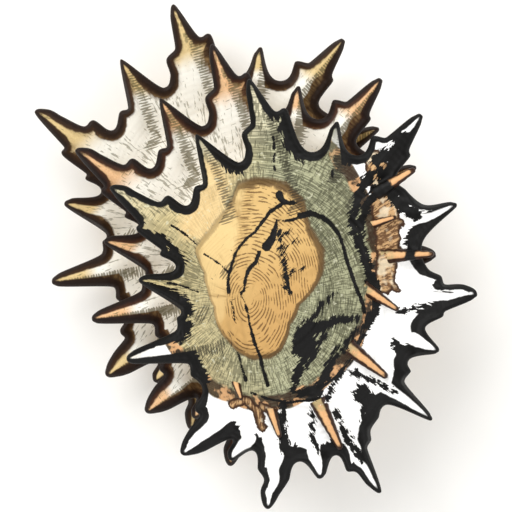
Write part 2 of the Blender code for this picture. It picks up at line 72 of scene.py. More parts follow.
# %% The turning places of the edge
EDGE = (
    ("thorn", -15.1, 65.9, 1.1, 6.0),
    ("nick", -7.4, 56.5, 1.5),
    ("knob", -4.2, 57.3, 1.7),
    ("bay", 3.3, 44.4, 4.6),
    ("flank", 9.3, 51.7, 1.5),
    ("thorn", 11.3, 53.3, 1.1, 3.5),
    ("bay", 16.6, 43.4, 4.6),
    ("knob", 21.7, 49.1, 1.2),
    ("nick", 25.6, 48.6, 0.8),
    ("flank", 33.6, 54.8, 1.8),
    ("thorn", 36.0, 55.2, 1.0, 6.5),
    ("flank", 36.1, 53.0, 1.5),
    ("nick", 32.7, 44.9, 1.2),
    ("knob", 33.0, 43.1, 0.9),
    ("bay", 28.7, 36.4, 1.8),
    ("knob", 31.6, 33.2, 1.0),
    ("nick", 37.2, 28.6, 2.4),
    ("flank", 45.2, 29.3, 1.4),
    ("thorn", 46.8, 28.2, 1.0, 4.0),
    ("bay", 36.8, 17.1, 4.0),
    ("flank", 38.4, 9.5, 1.6),
    ("knob", 42.3, 7.2, 0.9),
    ("nick", 43.3, 4.8, 0.8),
    ("flank", 49.2, 4.6, 2.0),
    ("thorn", 52.6, 2.2, 1.2, 6.0),
    ("flank", 51.4, 0.3, 1.6),
    ("nick", 43.4, -3.5, 0.9),
    ("knob", 42.8, -4.9, 0.9),
    ("bay", 37.6, -8.4, 1.6),
    ("thorn", 41.6, -14.6, 0.9, 3.0),
    ("flank", 40.7, -15.9, 1.2),
    ("bay", 32.7, -18.1, 2.0),
    ("knob", 33.3, -21.4, 0.8),
    ("nick", 31.4, -24.5, 1.2),
    ("flank", 38.8, -33.9, 1.6),
    ("thorn", 39.0, -35.8, 0.9, 6.0),
    ("bay", 25.8, -31.5, 2.2),
    ("knob", 23.6, -35.4, 0.9),
    ("nick", 21.3, -39.0, 1.2),
    ("knob", 21.4, -42.0, 0.7),
    ("nick", 20.2, -44.3, 0.9),
    ("thorn", 24.1, -57.2, 1.2, 5.5),
    ("flank", 20.3, -55.4, 1.8),
    ("nick", 16.8, -51.5, 1.2),
    ("knob", 14.1, -51.2, 0.9),
    ("bay", 10.8, -46.6, 2.2),
    ("flank", 7.6, -52.2, 1.1),
    ("thorn", 5.6, -53.4, 1.2, 2.0),
    ("bay", -0.3, -48.5, 2.7),
    ("knob", -3.3, -54.0, 1.2),
    ("nick", -6.0, -57.9, 0.9),
    ("thorn", -9.7, -62.2, 1.4, 5.0),
    ("flank", -11.8, -57.8, 2.0),
    ("nick", -10.8, -53.7, 1.2),
    ("knob", -12.6, -50.7, 0.9),
    ("bay", -13.8, -45.3, 2.0),
    ("thorn", -20.4, -48.1, 1.3, 2.0),
    ("flank", -21.7, -45.7, 1.2),
    ("bay", -20.3, -41.9, 1.2),
    ("flank", -28.7, -45.3, 1.6),
    ("flank", -31.8, -46.1, 1.0),
    ("thorn", -35.3, -45.9, 1.1, 5.0),
    ("flank", -35.4, -43.1, 1.3),
    ("flank", -33.3, -38.9, 1.6),
    ("bay", -30.1, -34.6, 0.6),
    ("knob", -31.5, -32.5, 1.4),
    ("nick", -29.3, -26.7, 2.7),
    ("knob", -32.7, -22.7, 0.9),
    ("bay", -33.4, -19.3, 1.2),
    ("flank", -50.2, -18.8, 1.5),
    ("thorn", -51.7, -17.3, 0.9, 5.5),
    ("flank", -49.9, -15.1, 1.6),
    ("bay", -37.1, -9.0, 1.5),
    ("knob", -36.9, -5.4, 0.7),
    ("nick", -35.7, -3.3, 1.5),
    ("thorn", -48.1, 5.7, 1.3, 4.5),
    ("flank", -46.1, 7.6, 1.4),
    ("bay", -37.3, 9.6, 2.4),
    ("knob", -41.9, 13.5, 0.9),
    ("nick", -41.6, 15.0, 0.6),
    ("knob", -48.9, 21.0, 1.3),
    ("nick", -48.1, 22.9, 0.6),
    ("thorn", -56.6, 33.4, 1.2, 6.5),
    ("flank", -53.0, 34.3, 2.0),
    ("flank", -48.5, 32.2, 1.6),
    ("nick", -42.1, 29.4, 1.2),
    ("knob", -39.5, 31.3, 1.4),
    ("bay", -33.7, 28.4, 2.0),
    ("knob", -31.5, 33.9, 1.2),
    ("nick", -29.1, 34.9, 0.7),
    ("thorn", -31.1, 49.5, 1.1, 5.0),
    ("bay", -18.2, 41.3, 1.8),
    ("flank", -16.3, 44.6, 1.5),
    ("knob", -17.4, 49.7, 1.4),
    ("nick", -14.8, 52.8, 0.9),
    ("flank", -16.1, 62.6, 1.5),
)


def edge_points(steps):
    """The edge as an array of points, clockwise, with so many steps to each stretch."""
    places = [Vector((row[1], row[2])) for row in EDGE]
    count = len(places)
    along = []
    for i, place in enumerate(places):
        before = (place - places[i - 1]).normalized()
        after = (places[(i + 1) % count] - place).normalized()
        along.append((before + after).normalized())
    points = []
    for i, row in enumerate(EDGE):
        j = (i + 1) % count
        start = places[i] + along[i] * row[3]
        end = places[j] - along[j] * EDGE[j][3]
        curve = interpolate_bezier(places[i], start, end, places[j], steps + 1)
        points += [(p.x, p.y) for p in curve[:-1]]
    return np.array(points)


def even_steps(points, step):
    """The same closed line with its points a fixed step apart."""
    closed = np.vstack([points, points[:1]])
    lengths = np.hypot(*np.diff(closed, axis=0).T)
    travelled = np.concatenate([[0.0], np.cumsum(lengths)])
    count = int(travelled[-1] / step)
    wanted = np.linspace(0.0, travelled[-1], count, endpoint=False)
    return np.column_stack([np.interp(wanted, travelled, closed[:, axis]) for axis in (0, 1)])


FINE_STEPS = 24  # steps to each stretch of the edge
EDGE_STEP = 0.36
MEASURE_STEP = 0.1
OUTLINE = even_steps(edge_points(FINE_STEPS), EDGE_STEP)
DENSE = even_steps(edge_points(FINE_STEPS), MEASURE_STEP)
print("edge points", len(OUTLINE), "and for measuring", len(DENSE))

# %% [markdown]
# ## The thorns
#
# A thorn's root lies half-way between the bays on its two sides. Knowing root and tip, every point of the
# frill can be told how far along its thorn it lies and how far off the middle line. Shape and colour both
# follow from these two numbers, so they are worked out for all points at once with numpy.

# %% Root, tip and turn of every thorn
def nearest_bay(index, step):
    """The next bay along the edge from a thorn, one way or the other."""
    i = index
    while EDGE[i % len(EDGE)][0] != "bay":
        i += step
    row = EDGE[i % len(EDGE)]
    return np.array([row[1], row[2]])


def thorn_table():
    """Root, tip and turn of every thorn, one row each."""
    rows = []
    for i, row in enumerate(EDGE):
        if row[0] == "thorn":
            root = (nearest_bay(i, -1) + nearest_bay(i, 1)) / 2
            rows.append((*root, row[1], row[2], row[4]))
    return np.array(rows)


THORNS = thorn_table()
BAYS = np.array([(row[1], row[2]) for row in EDGE if row[0] == "bay"])
LIGHT_FROM = np.array([-0.75, 0.66])  # where the light comes from in plan, as the colouring has it
print("thorns", len(THORNS), "bays", len(BAYS))


def smooth(share):
    share = np.clip(share, 0.0, 1.0)
    return share * share * (3.0 - 2.0 * share)


def along_thorns(points, thorns):
    """For every point and thorn: share of the way out, distance off the line, and the offset itself."""
    root = thorns[:, 0:2]
    line = thorns[:, 2:4] - root
    rel = points[:, None, :] - root[None]
    share = (rel * line[None]).sum(2) / (line**2).sum(1)[None]
    offset = rel - np.clip(share, RIB_START, 1.0)[:, :, None] * line[None]
    return share, np.hypot(offset[:, :, 0], offset[:, :, 1]), offset


# %% [markdown]
# ## The shape of a frill, as heights
#
# A frill is a plate over its outline. It could be sculpted, but then it would lie by chance inside the
# fixed solid. Instead each point in plan gets a middle height, a rise and a drop from simple rules: the
# plate climbs outwards, thorns turn up, ribs run to their tips, and the plate swells to a bowl inwards.

# %% Sizes of the frills and their ribs
FRILL_FIRST = {
    "centre": (-11.7, 12.1), "level": 12.0, "size": 1.0,
    "dish": 0.34, "turn": 0.5, "above": 2.0, "below": 9.0,
}
FRILL_SECOND = {
    "centre": (-0.15, 0.8), "level": 24.5, "size": 0.979,
    "dish": 0.28, "turn": 0.4, "above": 2.5, "below": 8.0,
}
FRILL_THIRD = {
    "centre": (10.9, -10.6), "level": 39.0, "size": 0.982,
    "dish": 0.12, "turn": 1.0, "above": 0.0, "below": 4.4,
}
BODY_HALF = np.array([36.0, 45.0])
DISH_START = 0.78
PLATE_HALF = 1.1
EDGE_ROUND = 1.1
RIB_HEIGHT = 2.7
RIB_BELOW = 0.5
RIB_START = -0.6
RIB_HALF = 3.0
RIB_TAPER = 0.8  # how much of its height and width a rib loses on the way to the tip
TURN_START = 0.12  # the share of a thorn's length where it starts to turn up
TURN_POWER = 1.6
TURN_BLEND = 2.5
BOWL_OUT = 0.98
BOWL_IN = 0.45
SOLID_STEPS = 3  # steps to each stretch of the edge in the solids


def plan_shift():
    """The move that puts the middle of all three outlines on the frame's origin, as the solids have it."""
    outline = edge_points(SOLID_STEPS)
    spots = np.vstack([outline * f["size"] + f["centre"] for f in (FRILL_FIRST, FRILL_SECOND, FRILL_THIRD)])
    return -(spots.min(0) + spots.max(0)) / 2


PLAN_SHIFT = plan_shift()
print("plan shift mm", PLAN_SHIFT.round(3))


def body_share(points):
    """0 at the frill's centre and 1 on the ellipse through its bays."""
    return np.hypot(points[:, 0] / BODY_HALF[0], points[:, 1] / BODY_HALF[1])


def rib(points, thorns):
    """Height of the ribs that run up the middle of the thorns."""
    share, away, _ = along_thorns(points, thorns)
    taper = 1.0 - RIB_TAPER * np.clip(share, 0.0, 1.0)
    rise = smooth((share - RIB_START) / abs(RIB_START))
    height = RIB_HEIGHT * taper * rise * np.exp(-((away / (RIB_HALF * taper)) ** 2))
    return height.max(1)


def thorn_turn(points):
    """How far the plate turns up, blended between the thorns that a point lies near."""
    share, away, _ = along_thorns(points, THORNS)
    near = np.exp(-((away / TURN_BLEND) ** 2)) + 1e-9
    turns = THORNS[None, :, 4] * np.clip(share - TURN_START, 0.0, None) ** TURN_POWER
    return (near * turns).sum(1) / near.sum(1)


def plate_level(frill, points):
    """Height of the middle of a frill's plate."""
    climb = frill["dish"] * np.clip(body_share(points) - DISH_START, 0.0, None) * BODY_HALF[0]
    return frill["level"] + climb + frill["turn"] * thorn_turn(points)


def bowl(points):
    """0 on the thin plate, and 1 towards the middle, where it has swollen to the valve's wall."""
    return smooth((BOWL_OUT - body_share(points)) / (BOWL_OUT - BOWL_IN))


# %% [markdown]
# ## The dome, its beak and its ledges
#
# The upper valve began at its beak and grew outwards, so its growth lines are ellipses that all squeeze
# together near the beak. One formula gives that: the share of the way from the beak to an ellipse, along
# the ray through the point. It is 0 at the beak and 1 on the ellipse.

# %% The dome's rule
BEAK = (-14.5, 1.0)
DOME_CENTRE = (0.0, -1.0)
DOME_HEIGHT = 15.0
DOME_FALL = 1.2
DISC = {"centre": (-10.5, 10.0), "half": (19.6, 25.6), "drop": 1.3}
SECOND_LEDGE = {"centre": (0.8, -1.6), "half": (18.4, 27.4), "drop": 1.0}
THIRD_LEDGE = {"centre": (1.8, -1.2), "half": (23.4, 30.6), "drop": 0.9}
LEDGES = (DISC, SECOND_LEDGE, THIRD_LEDGE)
LEDGE_SOFT = 0.028
LEDGE_FADE = 4.0  # below this height of the dome a ledge grows lower


def growth(points, centre, half, beak):
    """The share of the way from the beak to an ellipse, along the ray through each point."""
    half = np.array(half)
    start = (np.array(beak) - centre) / half
    away = (points - beak) / half
    length = np.maximum((away**2).sum(1), 1e-9)
    dot = away @ start
    reach = -dot + np.sqrt(np.maximum(dot**2 - length * (start @ start - 1.0), 0.0))
    return length / reach


def dome_share(points):
    """0 at the beak and 1 where the dome runs out on the frill."""
    return growth(points, DOME_CENTRE, BODY_HALF, BEAK)


def dome_height(points):
    height = DOME_HEIGHT * np.clip(1.0 - dome_share(points) ** 2, 0.0, None) ** DOME_FALL
    for ledge in LEDGES:
        ring = growth(points, ledge["centre"], ledge["half"], ledge["centre"])
        within = 1.0 - smooth((ring - 1.0 + LEDGE_SOFT) / (2.0 * LEDGE_SOFT))
        height += ledge["drop"] * within * np.minimum(height / LEDGE_FADE, 1.0)
    return height


# %% [markdown]
# ## Points for the fine plates
#
# The outline, a few rows just inside it for the round edge, and an even field of points fill a frill. A
# Delaunay triangulation joins them. It also fills the bays, so triangles outside the outline are dropped.

# %% Fill an outline with points and triangles
FIELD_STEP = 0.52
DOME_STEP = 0.46
ROWS = (0.10, 0.30)
ROW_KEEP = 0.93
CREST_SHARES = (0.3, 0.995)  # the part of a thorn's length that has points on its crest
CREST_DENSE = 0.7  # points on a crest for each field step of its length
CREST_CLEAR = 0.2
FIELD_CLEAR = 0.5
CREST_ROOM = 0.55  # how near a field point may come to a crest, in field steps
AT_ONCE = 4000


def inward(outline):
    """Unit vectors into the frill at every outline point, for an outline that runs clockwise."""
    ahead = np.roll(outline, -1, 0) - np.roll(outline, 1, 0)
    ahead /= np.hypot(ahead[:, 0], ahead[:, 1])[:, None]
    return np.column_stack([ahead[:, 1], -ahead[:, 0]])


def nearest_place(points, targets):
    """Distance from every point to the nearest of the targets, and which of them that is."""
    tree = kdtree.KDTree(len(targets))
    for i, (x, y) in enumerate(targets):
        tree.insert((x, y, 0.0), i)
    tree.balance()
    found = [tree.find((x, y, 0.0)) for x, y in points]
    return np.array([f[2] for f in found]), np.array([f[1] for f in found])


def inside(points, outline):
    """True where a point lies within the outline, by counting the edges that a ray crosses."""
    x0, y0 = outline[:, 0], outline[:, 1]
    x1, y1 = np.roll(x0, -1), np.roll(y0, -1)
    crossings = np.zeros(len(points), int)
    for part in range(0, len(points), AT_ONCE):
        px, py = (points[part:part + AT_ONCE, axis][:, None] for axis in (0, 1))
        spans = (y0 > py) != (y1 > py)
        with np.errstate(divide="ignore", invalid="ignore"):
            cut = x0 + (py - y0) * (x1 - x0) / (y1 - y0)
        crossings[part:part + AT_ONCE] = (spans & (px < cut)).sum(1)
    return crossings % 2 == 1


def even_field(step):
    """Points in rows of equilateral triangles over the outline's box."""
    low, high = OUTLINE.min(0), OUTLINE.max(0)
    rows = []
    for j, y in enumerate(np.arange(low[1], high[1], step * math.sqrt(3) / 2)):
        x = np.arange(low[0] + (j % 2) * step / 2, high[0], step)
        rows.append(np.column_stack([x, np.full(len(x), y)]))
    return np.vstack(rows)


def hole_share(points, hole):
    """Below 1 inside an oval hole."""
    centre, half = hole
    return np.hypot((points[:, 0] - centre[0]) / half[0], (points[:, 1] - centre[1]) / half[1])


def thorn_crests(step):
    """Points on the middle line of every thorn, so that the mesh follows the ribs."""
    crests = []
    for x0, y0, x1, y1, _ in THORNS:
        count = int(math.hypot(x1 - x0, y1 - y0) * CREST_DENSE / step)
        share = np.linspace(*CREST_SHARES, count)[:, None]
        crests.append(np.array([[x0, y0]]) * (1 - share) + np.array([[x1, y1]]) * share)
    crests = np.vstack(crests)
    crests = crests[inside(crests, OUTLINE)]
    return crests[nearest_place(crests, DENSE)[0] > CREST_CLEAR]


def fill_plan(step, hole):
    """(points, triangles) of a frill in plan, with an oval hole or none. The outline's points come first."""
    rows = []
    for depth in ROWS:
        row = OUTLINE + inward(OUTLINE) * depth
        rows.append(row[nearest_place(row, DENSE)[0] > depth * ROW_KEEP])
    crests = thorn_crests(step)
    field = even_field(step)
    field = field[inside(field, OUTLINE)]
    field = field[nearest_place(field, DENSE)[0] > FIELD_CLEAR]
    field = field[nearest_place(field, crests)[0] > step * CREST_ROOM]
    if hole is not None:
        field = field[hole_share(field, hole) > 1.0]
    points = np.vstack([OUTLINE, *rows, crests, field])
    border = [list(range(len(OUTLINE)))[::-1]]
    made, _, faces, _, _, within = delaunay_2d_cdt([Vector(p) for p in points], [], border, 0, 1e-6, True)
    made = np.array([tuple(p) for p in made])
    faces = np.array([face for face, found in zip(faces, within) if found])
    if hole is not None:
        faces = faces[hole_share(made[faces].mean(1), hole) > 1.0]
    return made, faces


# %% [markdown]
# ## Lifting the plan to a frill
#
# The top and the bottom sheet share the outline's points, so the frill closes in a thin round edge with
# no seam. Fine relief rides on top: a rolled lip along the edge, riblets that run out to the thorns, and
# growth lines. Each point also keeps the measures that its colour follows, as attributes on the mesh.

# %% Fine relief of a frill
LIP_HEIGHT = 0.42
LIP_AT = 1.15
LIP_HALF = 0.75
LIP_FADE = 0.6
RIB_FADE = 1.6
RIBLET_HEIGHT = 0.10
RIBLETS = 210
RIBLET_RUN = 9.0
GROWTH_STEP = 1.5
GROWTH_HEIGHT = 0.07
WOBBLE = 0.9


def wave_noise(points, size, seed):
    """Smooth noise between -1 and 1 at every point, with bumps about so many millimetres across."""
    return np.array([noise.noise(Vector((x / size, y / size, seed))) for x, y in points])


def radial_noise(points, strokes, seed):
    """Noise that is stretched along rays from the centre, with so many strokes round a full turn."""
    radius = np.hypot(points[:, 0], points[:, 1])
    turn = np.arctan2(points[:, 1], points[:, 0])
    k = strokes / (2 * math.pi)
    return np.array([
        noise.noise(Vector((math.cos(a) * k, math.sin(a) * k, r / RIBLET_RUN + seed)))
        for a, r in zip(turn, radius)
    ])


def edge_swell(distance):
    """A quarter-round from nothing at the edge to the plate's half thickness."""
    share = np.clip(distance / EDGE_ROUND, 0.0, 1.0)
    return PLATE_HALF * np.sqrt(np.clip(1.0 - (1.0 - share) ** 2, 0.0, 1.0))


def relief(points, distance, seed):
    """Riblets and growth lines, which fade towards the edge."""
    away = smooth((distance - 0.4) / 1.6)
    riblets = RIBLET_HEIGHT * radial_noise(points, RIBLETS, seed)
    wobble = WOBBLE * wave_noise(points, 7.0, seed + 3.1)
    phase = (body_share(points) * BODY_HALF[0] + wobble) / GROWTH_STEP
    lines = GROWTH_HEIGHT * np.sin(2 * math.pi * phase) * (0.6 + 0.4 * wave_noise(points, 11.0, seed + 7.7))
    return (riblets + lines) * away


# %% [markdown]
# ## The measures that colour follows
#
# A thorn is dark along its edges, wider in the bays and, as painted shade, on the side turned from the light,
# and it has a pale stripe along its middle. So each point keeps its distance to the edge, the width of the
# dark band there, how far out on a thorn it lies, and how lit that side is.

# %% Measures for the colouring
BAND_FLANK = 1.75
BAND_SHADE = 2.2
BAND_BAY = 1.7
BAY_REACH = 5.0
BAND_MOST = 4.5
STRIPE_LEAST = 0.35
STRIPE_GROWS = 1.6
MIDDLE_STEPS = 24


def line_distance(points, line):
    """Distance from every point to an open line, and how far along the line the nearest place is."""
    best = np.full(len(points), 1e9)
    where = np.zeros(len(points))
    for i in range(len(line) - 1):
        a, b = line[i], line[i + 1]
        ab = b - a
        share = np.clip(((points - a) @ ab) / (ab @ ab), 0.0, 1.0)
        far = np.hypot(*(points - a - share[:, None] * ab).T)
        nearer = far < best
        best[nearer] = far[nearer]
        where[nearer] = (i + share[nearer]) / (len(line) - 1)
    return best, where


def middle_lines():
    """For every thorn the line half-way between its two flanks, from its tip inwards."""
    fine = edge_points(MIDDLE_STEPS)
    kinds = [row[0] for row in EDGE]
    lines = []
    for i in [k for k, kind in enumerate(kinds) if kind == "thorn"]:
        flanks, travelled = [], []
        for step in (-1, 1):
            j = i + step
            while kinds[j % len(EDGE)] != "bay":
                j += step
            flanks.append(fine[np.arange(i * MIDDLE_STEPS, j * MIDDLE_STEPS, step) % len(fine)])
            lengths = np.hypot(*np.diff(flanks[-1], axis=0).T)
            travelled.append(np.concatenate([[0.0], np.cumsum(lengths)]))
        way = np.linspace(0.0, min(t[-1] for t in travelled), MIDDLE_STEPS)
        sides = [
            [np.interp(way, t, flank[:, axis]) for axis in (0, 1)] for t, flank in zip(travelled, flanks)
        ]
        middle = np.array(sides).mean(0).T
        lines.append(np.vstack([middle, middle[-1] * 2 - middle[MIDDLE_STEPS // 2]]))
    return lines


MIDDLES = middle_lines()


def colour_measures(points, outline_index, distance):
    """The measures that every frill keeps for its colour, by name."""
    share, away, offset = along_thorns(points, THORNS)
    nearest = away.argmin(1)
    pick = np.arange(len(points))
    near_offset = offset[pick, nearest]
    near_away = away[pick, nearest]
    lit = (near_offset @ LIGHT_FROM) / (near_away + 0.8)
    out = np.clip(share[pick, nearest], -0.5, 1.2)
    normal = -inward(DENSE)[outline_index]
    facing = normal @ LIGHT_FROM
    bay = np.exp(-((np.hypot(*(points[:, None, :] - BAYS[None]).transpose(2, 0, 1)) / BAY_REACH) ** 2)).max(1)
    # The dark band widens in the bays, and as painted shade on the side turned from the light.
    band = BAND_FLANK + BAND_SHADE * np.clip(0.4 - facing, 0.0, 1.0) + BAND_BAY * bay
    band = np.minimum(band, BAND_MOST)
    length = np.hypot(*(THORNS[:, 2:4] - THORNS[:, 0:2]).T)[nearest]
    width = STRIPE_LEAST + STRIPE_GROWS * np.clip(0.95 - out, 0.0, 1.0)
    aside = np.zeros(len(points))
    for t, line in enumerate(MIDDLES):
        aside[nearest == t] = line_distance(points[nearest == t], line)[0]
    return {
        "edge": distance, "band": band, "out": out, "lit": lit,
        "stripe": (width - aside) * smooth((0.97 - out) / 0.1), "run": share[pick, nearest] * length,
        "off": near_away,
    }


def add_mesh(name, corners, faces, measures):
    """A mesh object from millimetre corners in the frame's plan, with a float attribute per measure."""
    data = bpy.data.meshes.new(name)
    placed = corners.copy()
    placed[:, 0:2] += PLAN_SHIFT
    low, high = np.array(CAD_BOX) / MM
    placed = np.clip(placed, low, high) * MM
    data.vertices.add(len(placed))
    data.vertices.foreach_set("co", placed.ravel().astype(np.float32))
    data.loops.add(len(faces) * 3)
    data.loops.foreach_set("vertex_index", faces.ravel().astype(np.int32))
    data.polygons.add(len(faces))
    data.polygons.foreach_set("loop_start", np.arange(0, len(faces) * 3, 3, dtype=np.int32))
    data.update(calc_edges=True)
    data.validate()
    for key, values in measures.items():
        layer = data.attributes.new(key, "FLOAT", "POINT")
        layer.data.foreach_set("value", values.astype(np.float32))
    data.shade_smooth()
    piece = bpy.data.objects.new(name, data)
    bpy.context.scene.collection.objects.link(piece)
    print(name, "triangles", len(faces))
    return piece


def lift_plan(name, frill, plan, top, bottom, more):
    """Makes the closed frill from its plan, a top and a bottom height, and measures for the colour."""
    points, faces = plan
    distance, index = nearest_place(points, DENSE)
    shared = np.zeros(len(points), bool)
    shared[: len(OUTLINE)] = True
    distance[shared] = 0.0
    middle = plate_level(frill, points)
    upper = middle + top(points, distance)
    lower = middle - bottom(points, distance)
    upper[shared] = lower[shared] = middle[shared]
    plan_mm = points * frill["size"] + frill["centre"]
    under = np.where(shared, np.arange(len(points)), len(points) + np.cumsum(~shared) - 1)
    corners = np.vstack([
        np.column_stack([plan_mm, upper]),
        np.column_stack([plan_mm[~shared], lower[~shared]]),
    ])
    rim = open_rim(faces, shared, under)
    every = np.vstack([faces, under[faces[:, ::-1]], rim])
    measures = colour_measures(points, index, distance)
    measures.update(more(points))
    measures["under"] = np.zeros(len(points))
    both = {key: np.concatenate([v, v[~shared]]) for key, v in measures.items()}
    both["under"][len(points):] = 1.0
    return add_mesh(name, corners, every, both)


def open_rim(faces, shared, under):
    """Triangles that close the wall of the hole, where the top and bottom sheets don't share points."""
    edges = np.vstack([faces[:, [0, 1]], faces[:, [1, 2]], faces[:, [2, 0]]])
    twins = {(b, a) for a, b in edges.tolist()}
    wall = []
    for a, b in edges.tolist():
        if (a, b) not in twins and not (shared[a] and shared[b]):
            wall.append((b, a, under[a]))
            wall.append((b, under[a], under[b]))
    wall = np.array(wall, int).reshape(-1, 3)
    return wall[(wall[:, 0] != wall[:, 1]) & (wall[:, 1] != wall[:, 2]) & (wall[:, 0] != wall[:, 2])]


# %% [markdown]
# ## The two frills of the lower valve
#
# Both are the same plate at two heights. Their middles would be hidden in the cup's wall and would fill
# the hollow, so each gets an oval hole that ends inside the wall.

# %% First and second frill
SCAR_CENTRE = np.array([-1.0, 1.0])
SEAM_CENTRE = np.array([5.7, -5.7])
SEAM_LEVEL = 33.0
LONG_OVER_WIDE = 1.22
HOLE_HALF = 26.5
UNDER_SEED = 20.0  # sets the relief below apart from the relief above


def wall_centre(height):
    """Where the middle of the cup lies in plan, which leans over between the scar and the seam."""
    share = np.clip(height / SEAM_LEVEL, 0.0, 1.0)
    return SCAR_CENTRE + (SEAM_CENTRE - SCAR_CENTRE) * np.reshape(share, (-1, 1))


def hole_for(frill):
    centre = (wall_centre(frill["level"])[0] - frill["centre"]) / frill["size"]
    return centre, (HOLE_HALF, HOLE_HALF * LONG_OVER_WIDE)


def lip_and_ribs(points, distance, thorns):
    """The round edge, the rolled lip and the ribs on a plate's upper side."""
    lip = LIP_HEIGHT * np.exp(-(((distance - LIP_AT) / LIP_HALF) ** 2)) * smooth(distance / LIP_FADE)
    return edge_swell(distance) + rib(points, thorns) * smooth(distance / RIB_FADE) + lip


def underside(frill, points, distance, seed):
    """How far a plate's lower side lies below its middle."""
    ribs = RIB_BELOW * rib(points, THORNS) * smooth(distance / RIB_FADE)
    swell = edge_swell(distance) + ribs + frill["below"] * bowl(points)
    return swell + relief(points, distance, seed + UNDER_SEED)


def plain_frill(name, frill, seed):
    def top(points, distance):
        raised = lip_and_ribs(points, distance, THORNS) + frill["above"] * bowl(points)
        return raised + relief(points, distance, seed)

    def bottom(points, distance):
        return underside(frill, points, distance, seed)

    return lift_plan(name, frill, fill_plan(FIELD_STEP, hole_for(frill)), top, bottom, lambda points: {})


first_frill = plain_frill("first_frill", FRILL_FIRST, 1.0)
second_frill = plain_frill("second_frill", FRILL_SECOND, 2.0)

# %% [markdown]
# ## The upper valve's frill and dome
#
# The upper valve is one grown piece, so its frill, dome, disc and ledges are one mesh. The marks on
# it were read off the photo, so they are written as pixels, and from_photo turns those into millimetres.

# %% Marks and colour fields on the dome
VIEW_LEVEL = 24.5  # the height at which one pixel of the photo is PIXEL millimetres wide
VIEW_FAR = 850.0  # the camera's height over that level
PIXEL = 0.30
PHOTO_MIDDLE = 256.0
VIEW_AXIS = PLAN_SHIFT + (-2.01, 2.36)  # where the camera looks, in the frame's plan


def from_photo(spots, height):
    """Places in the third frill's own plan for pixels of the photo, on a surface at that height."""
    pixel = PIXEL * (VIEW_FAR - (height - VIEW_LEVEL)) / VIEW_FAR
    spots = np.array(spots, float)
    world = np.column_stack([
        VIEW_AXIS[0] + (spots[:, 0] - PHOTO_MIDDLE) * pixel,
        VIEW_AXIS[1] + (PHOTO_MIDDLE - spots[:, 1]) * pixel,
    ])
    return (world - PLAN_SHIFT - FRILL_THIRD["centre"]) / FRILL_THIRD["size"]


# Dark cracks on the dome: half width at the start and at the end in millimetres, the height of the
# surface under it, and its route in pixels of the photo.
CRACKS = (
    (0.7, 0.35, 55, ((294, 202), (283, 203), (271, 211), (262, 222), (255, 232), (247, 238), (240, 246))),
    (0.4, 0.5, 55, ((240, 246), (235, 254), (232, 264), (229, 274), (228, 283), (229, 292))),
    (0.3, 0.25, 54, ((204, 254), (212, 259), (221, 265), (228, 272))),
    (0.25, 0.2, 54, ((231, 300), (233, 309), (235, 320))),
    (0.3, 1.5, 55, ((277, 220), (275, 229), (272, 239), (267, 246))),
    (0.7, 0.35, 55, ((259, 253), (256, 262), (248, 270), (245, 281), (244, 290), (241, 293))),
    (0.3, 0.55, 54, ((241, 293), (245, 303), (248, 314), (250, 326), (254, 341), (260, 356), (264, 372),
                     (268, 386))),
    (0.25, 0.7, 54, ((277, 220), (285, 221), (295, 219), (305, 215), (314, 214))),
    (0.95, 0.6, 53, ((300, 216), (310, 213), (322, 217), (331, 223), (339, 234))),
    (0.5, 0.6, 51, ((339, 234), (343, 245), (346, 258), (352, 275), (357, 290), (363, 304), (365, 312))),
    (1.2, 0.3, 55, ((279, 194), (282, 200), (288, 202), (297, 202))),
    (0.35, 0.45, 47, ((273, 136), (274, 141), (274, 148))),
    (0.4, 0.3, 48, ((275, 153), (274, 157), (274, 161))),
    (0.3, 0.35, 49, ((274, 165), (275, 169))),
    (0.4, 0.3, 47, ((333, 170), (333, 177))),
    (0.4, 0.25, 47, ((171, 225), (182, 232), (190, 239), (197, 245))),
    (0.4, 0.2, 47, ((167, 283), (182, 286), (198, 292))),
    (0.35, 0.5, 45, ((250, 392), (268, 398), (288, 402), (310, 399), (330, 397))),
    (0.25, 0.5, 46, ((238, 352), (242, 366), (246, 380))),
)
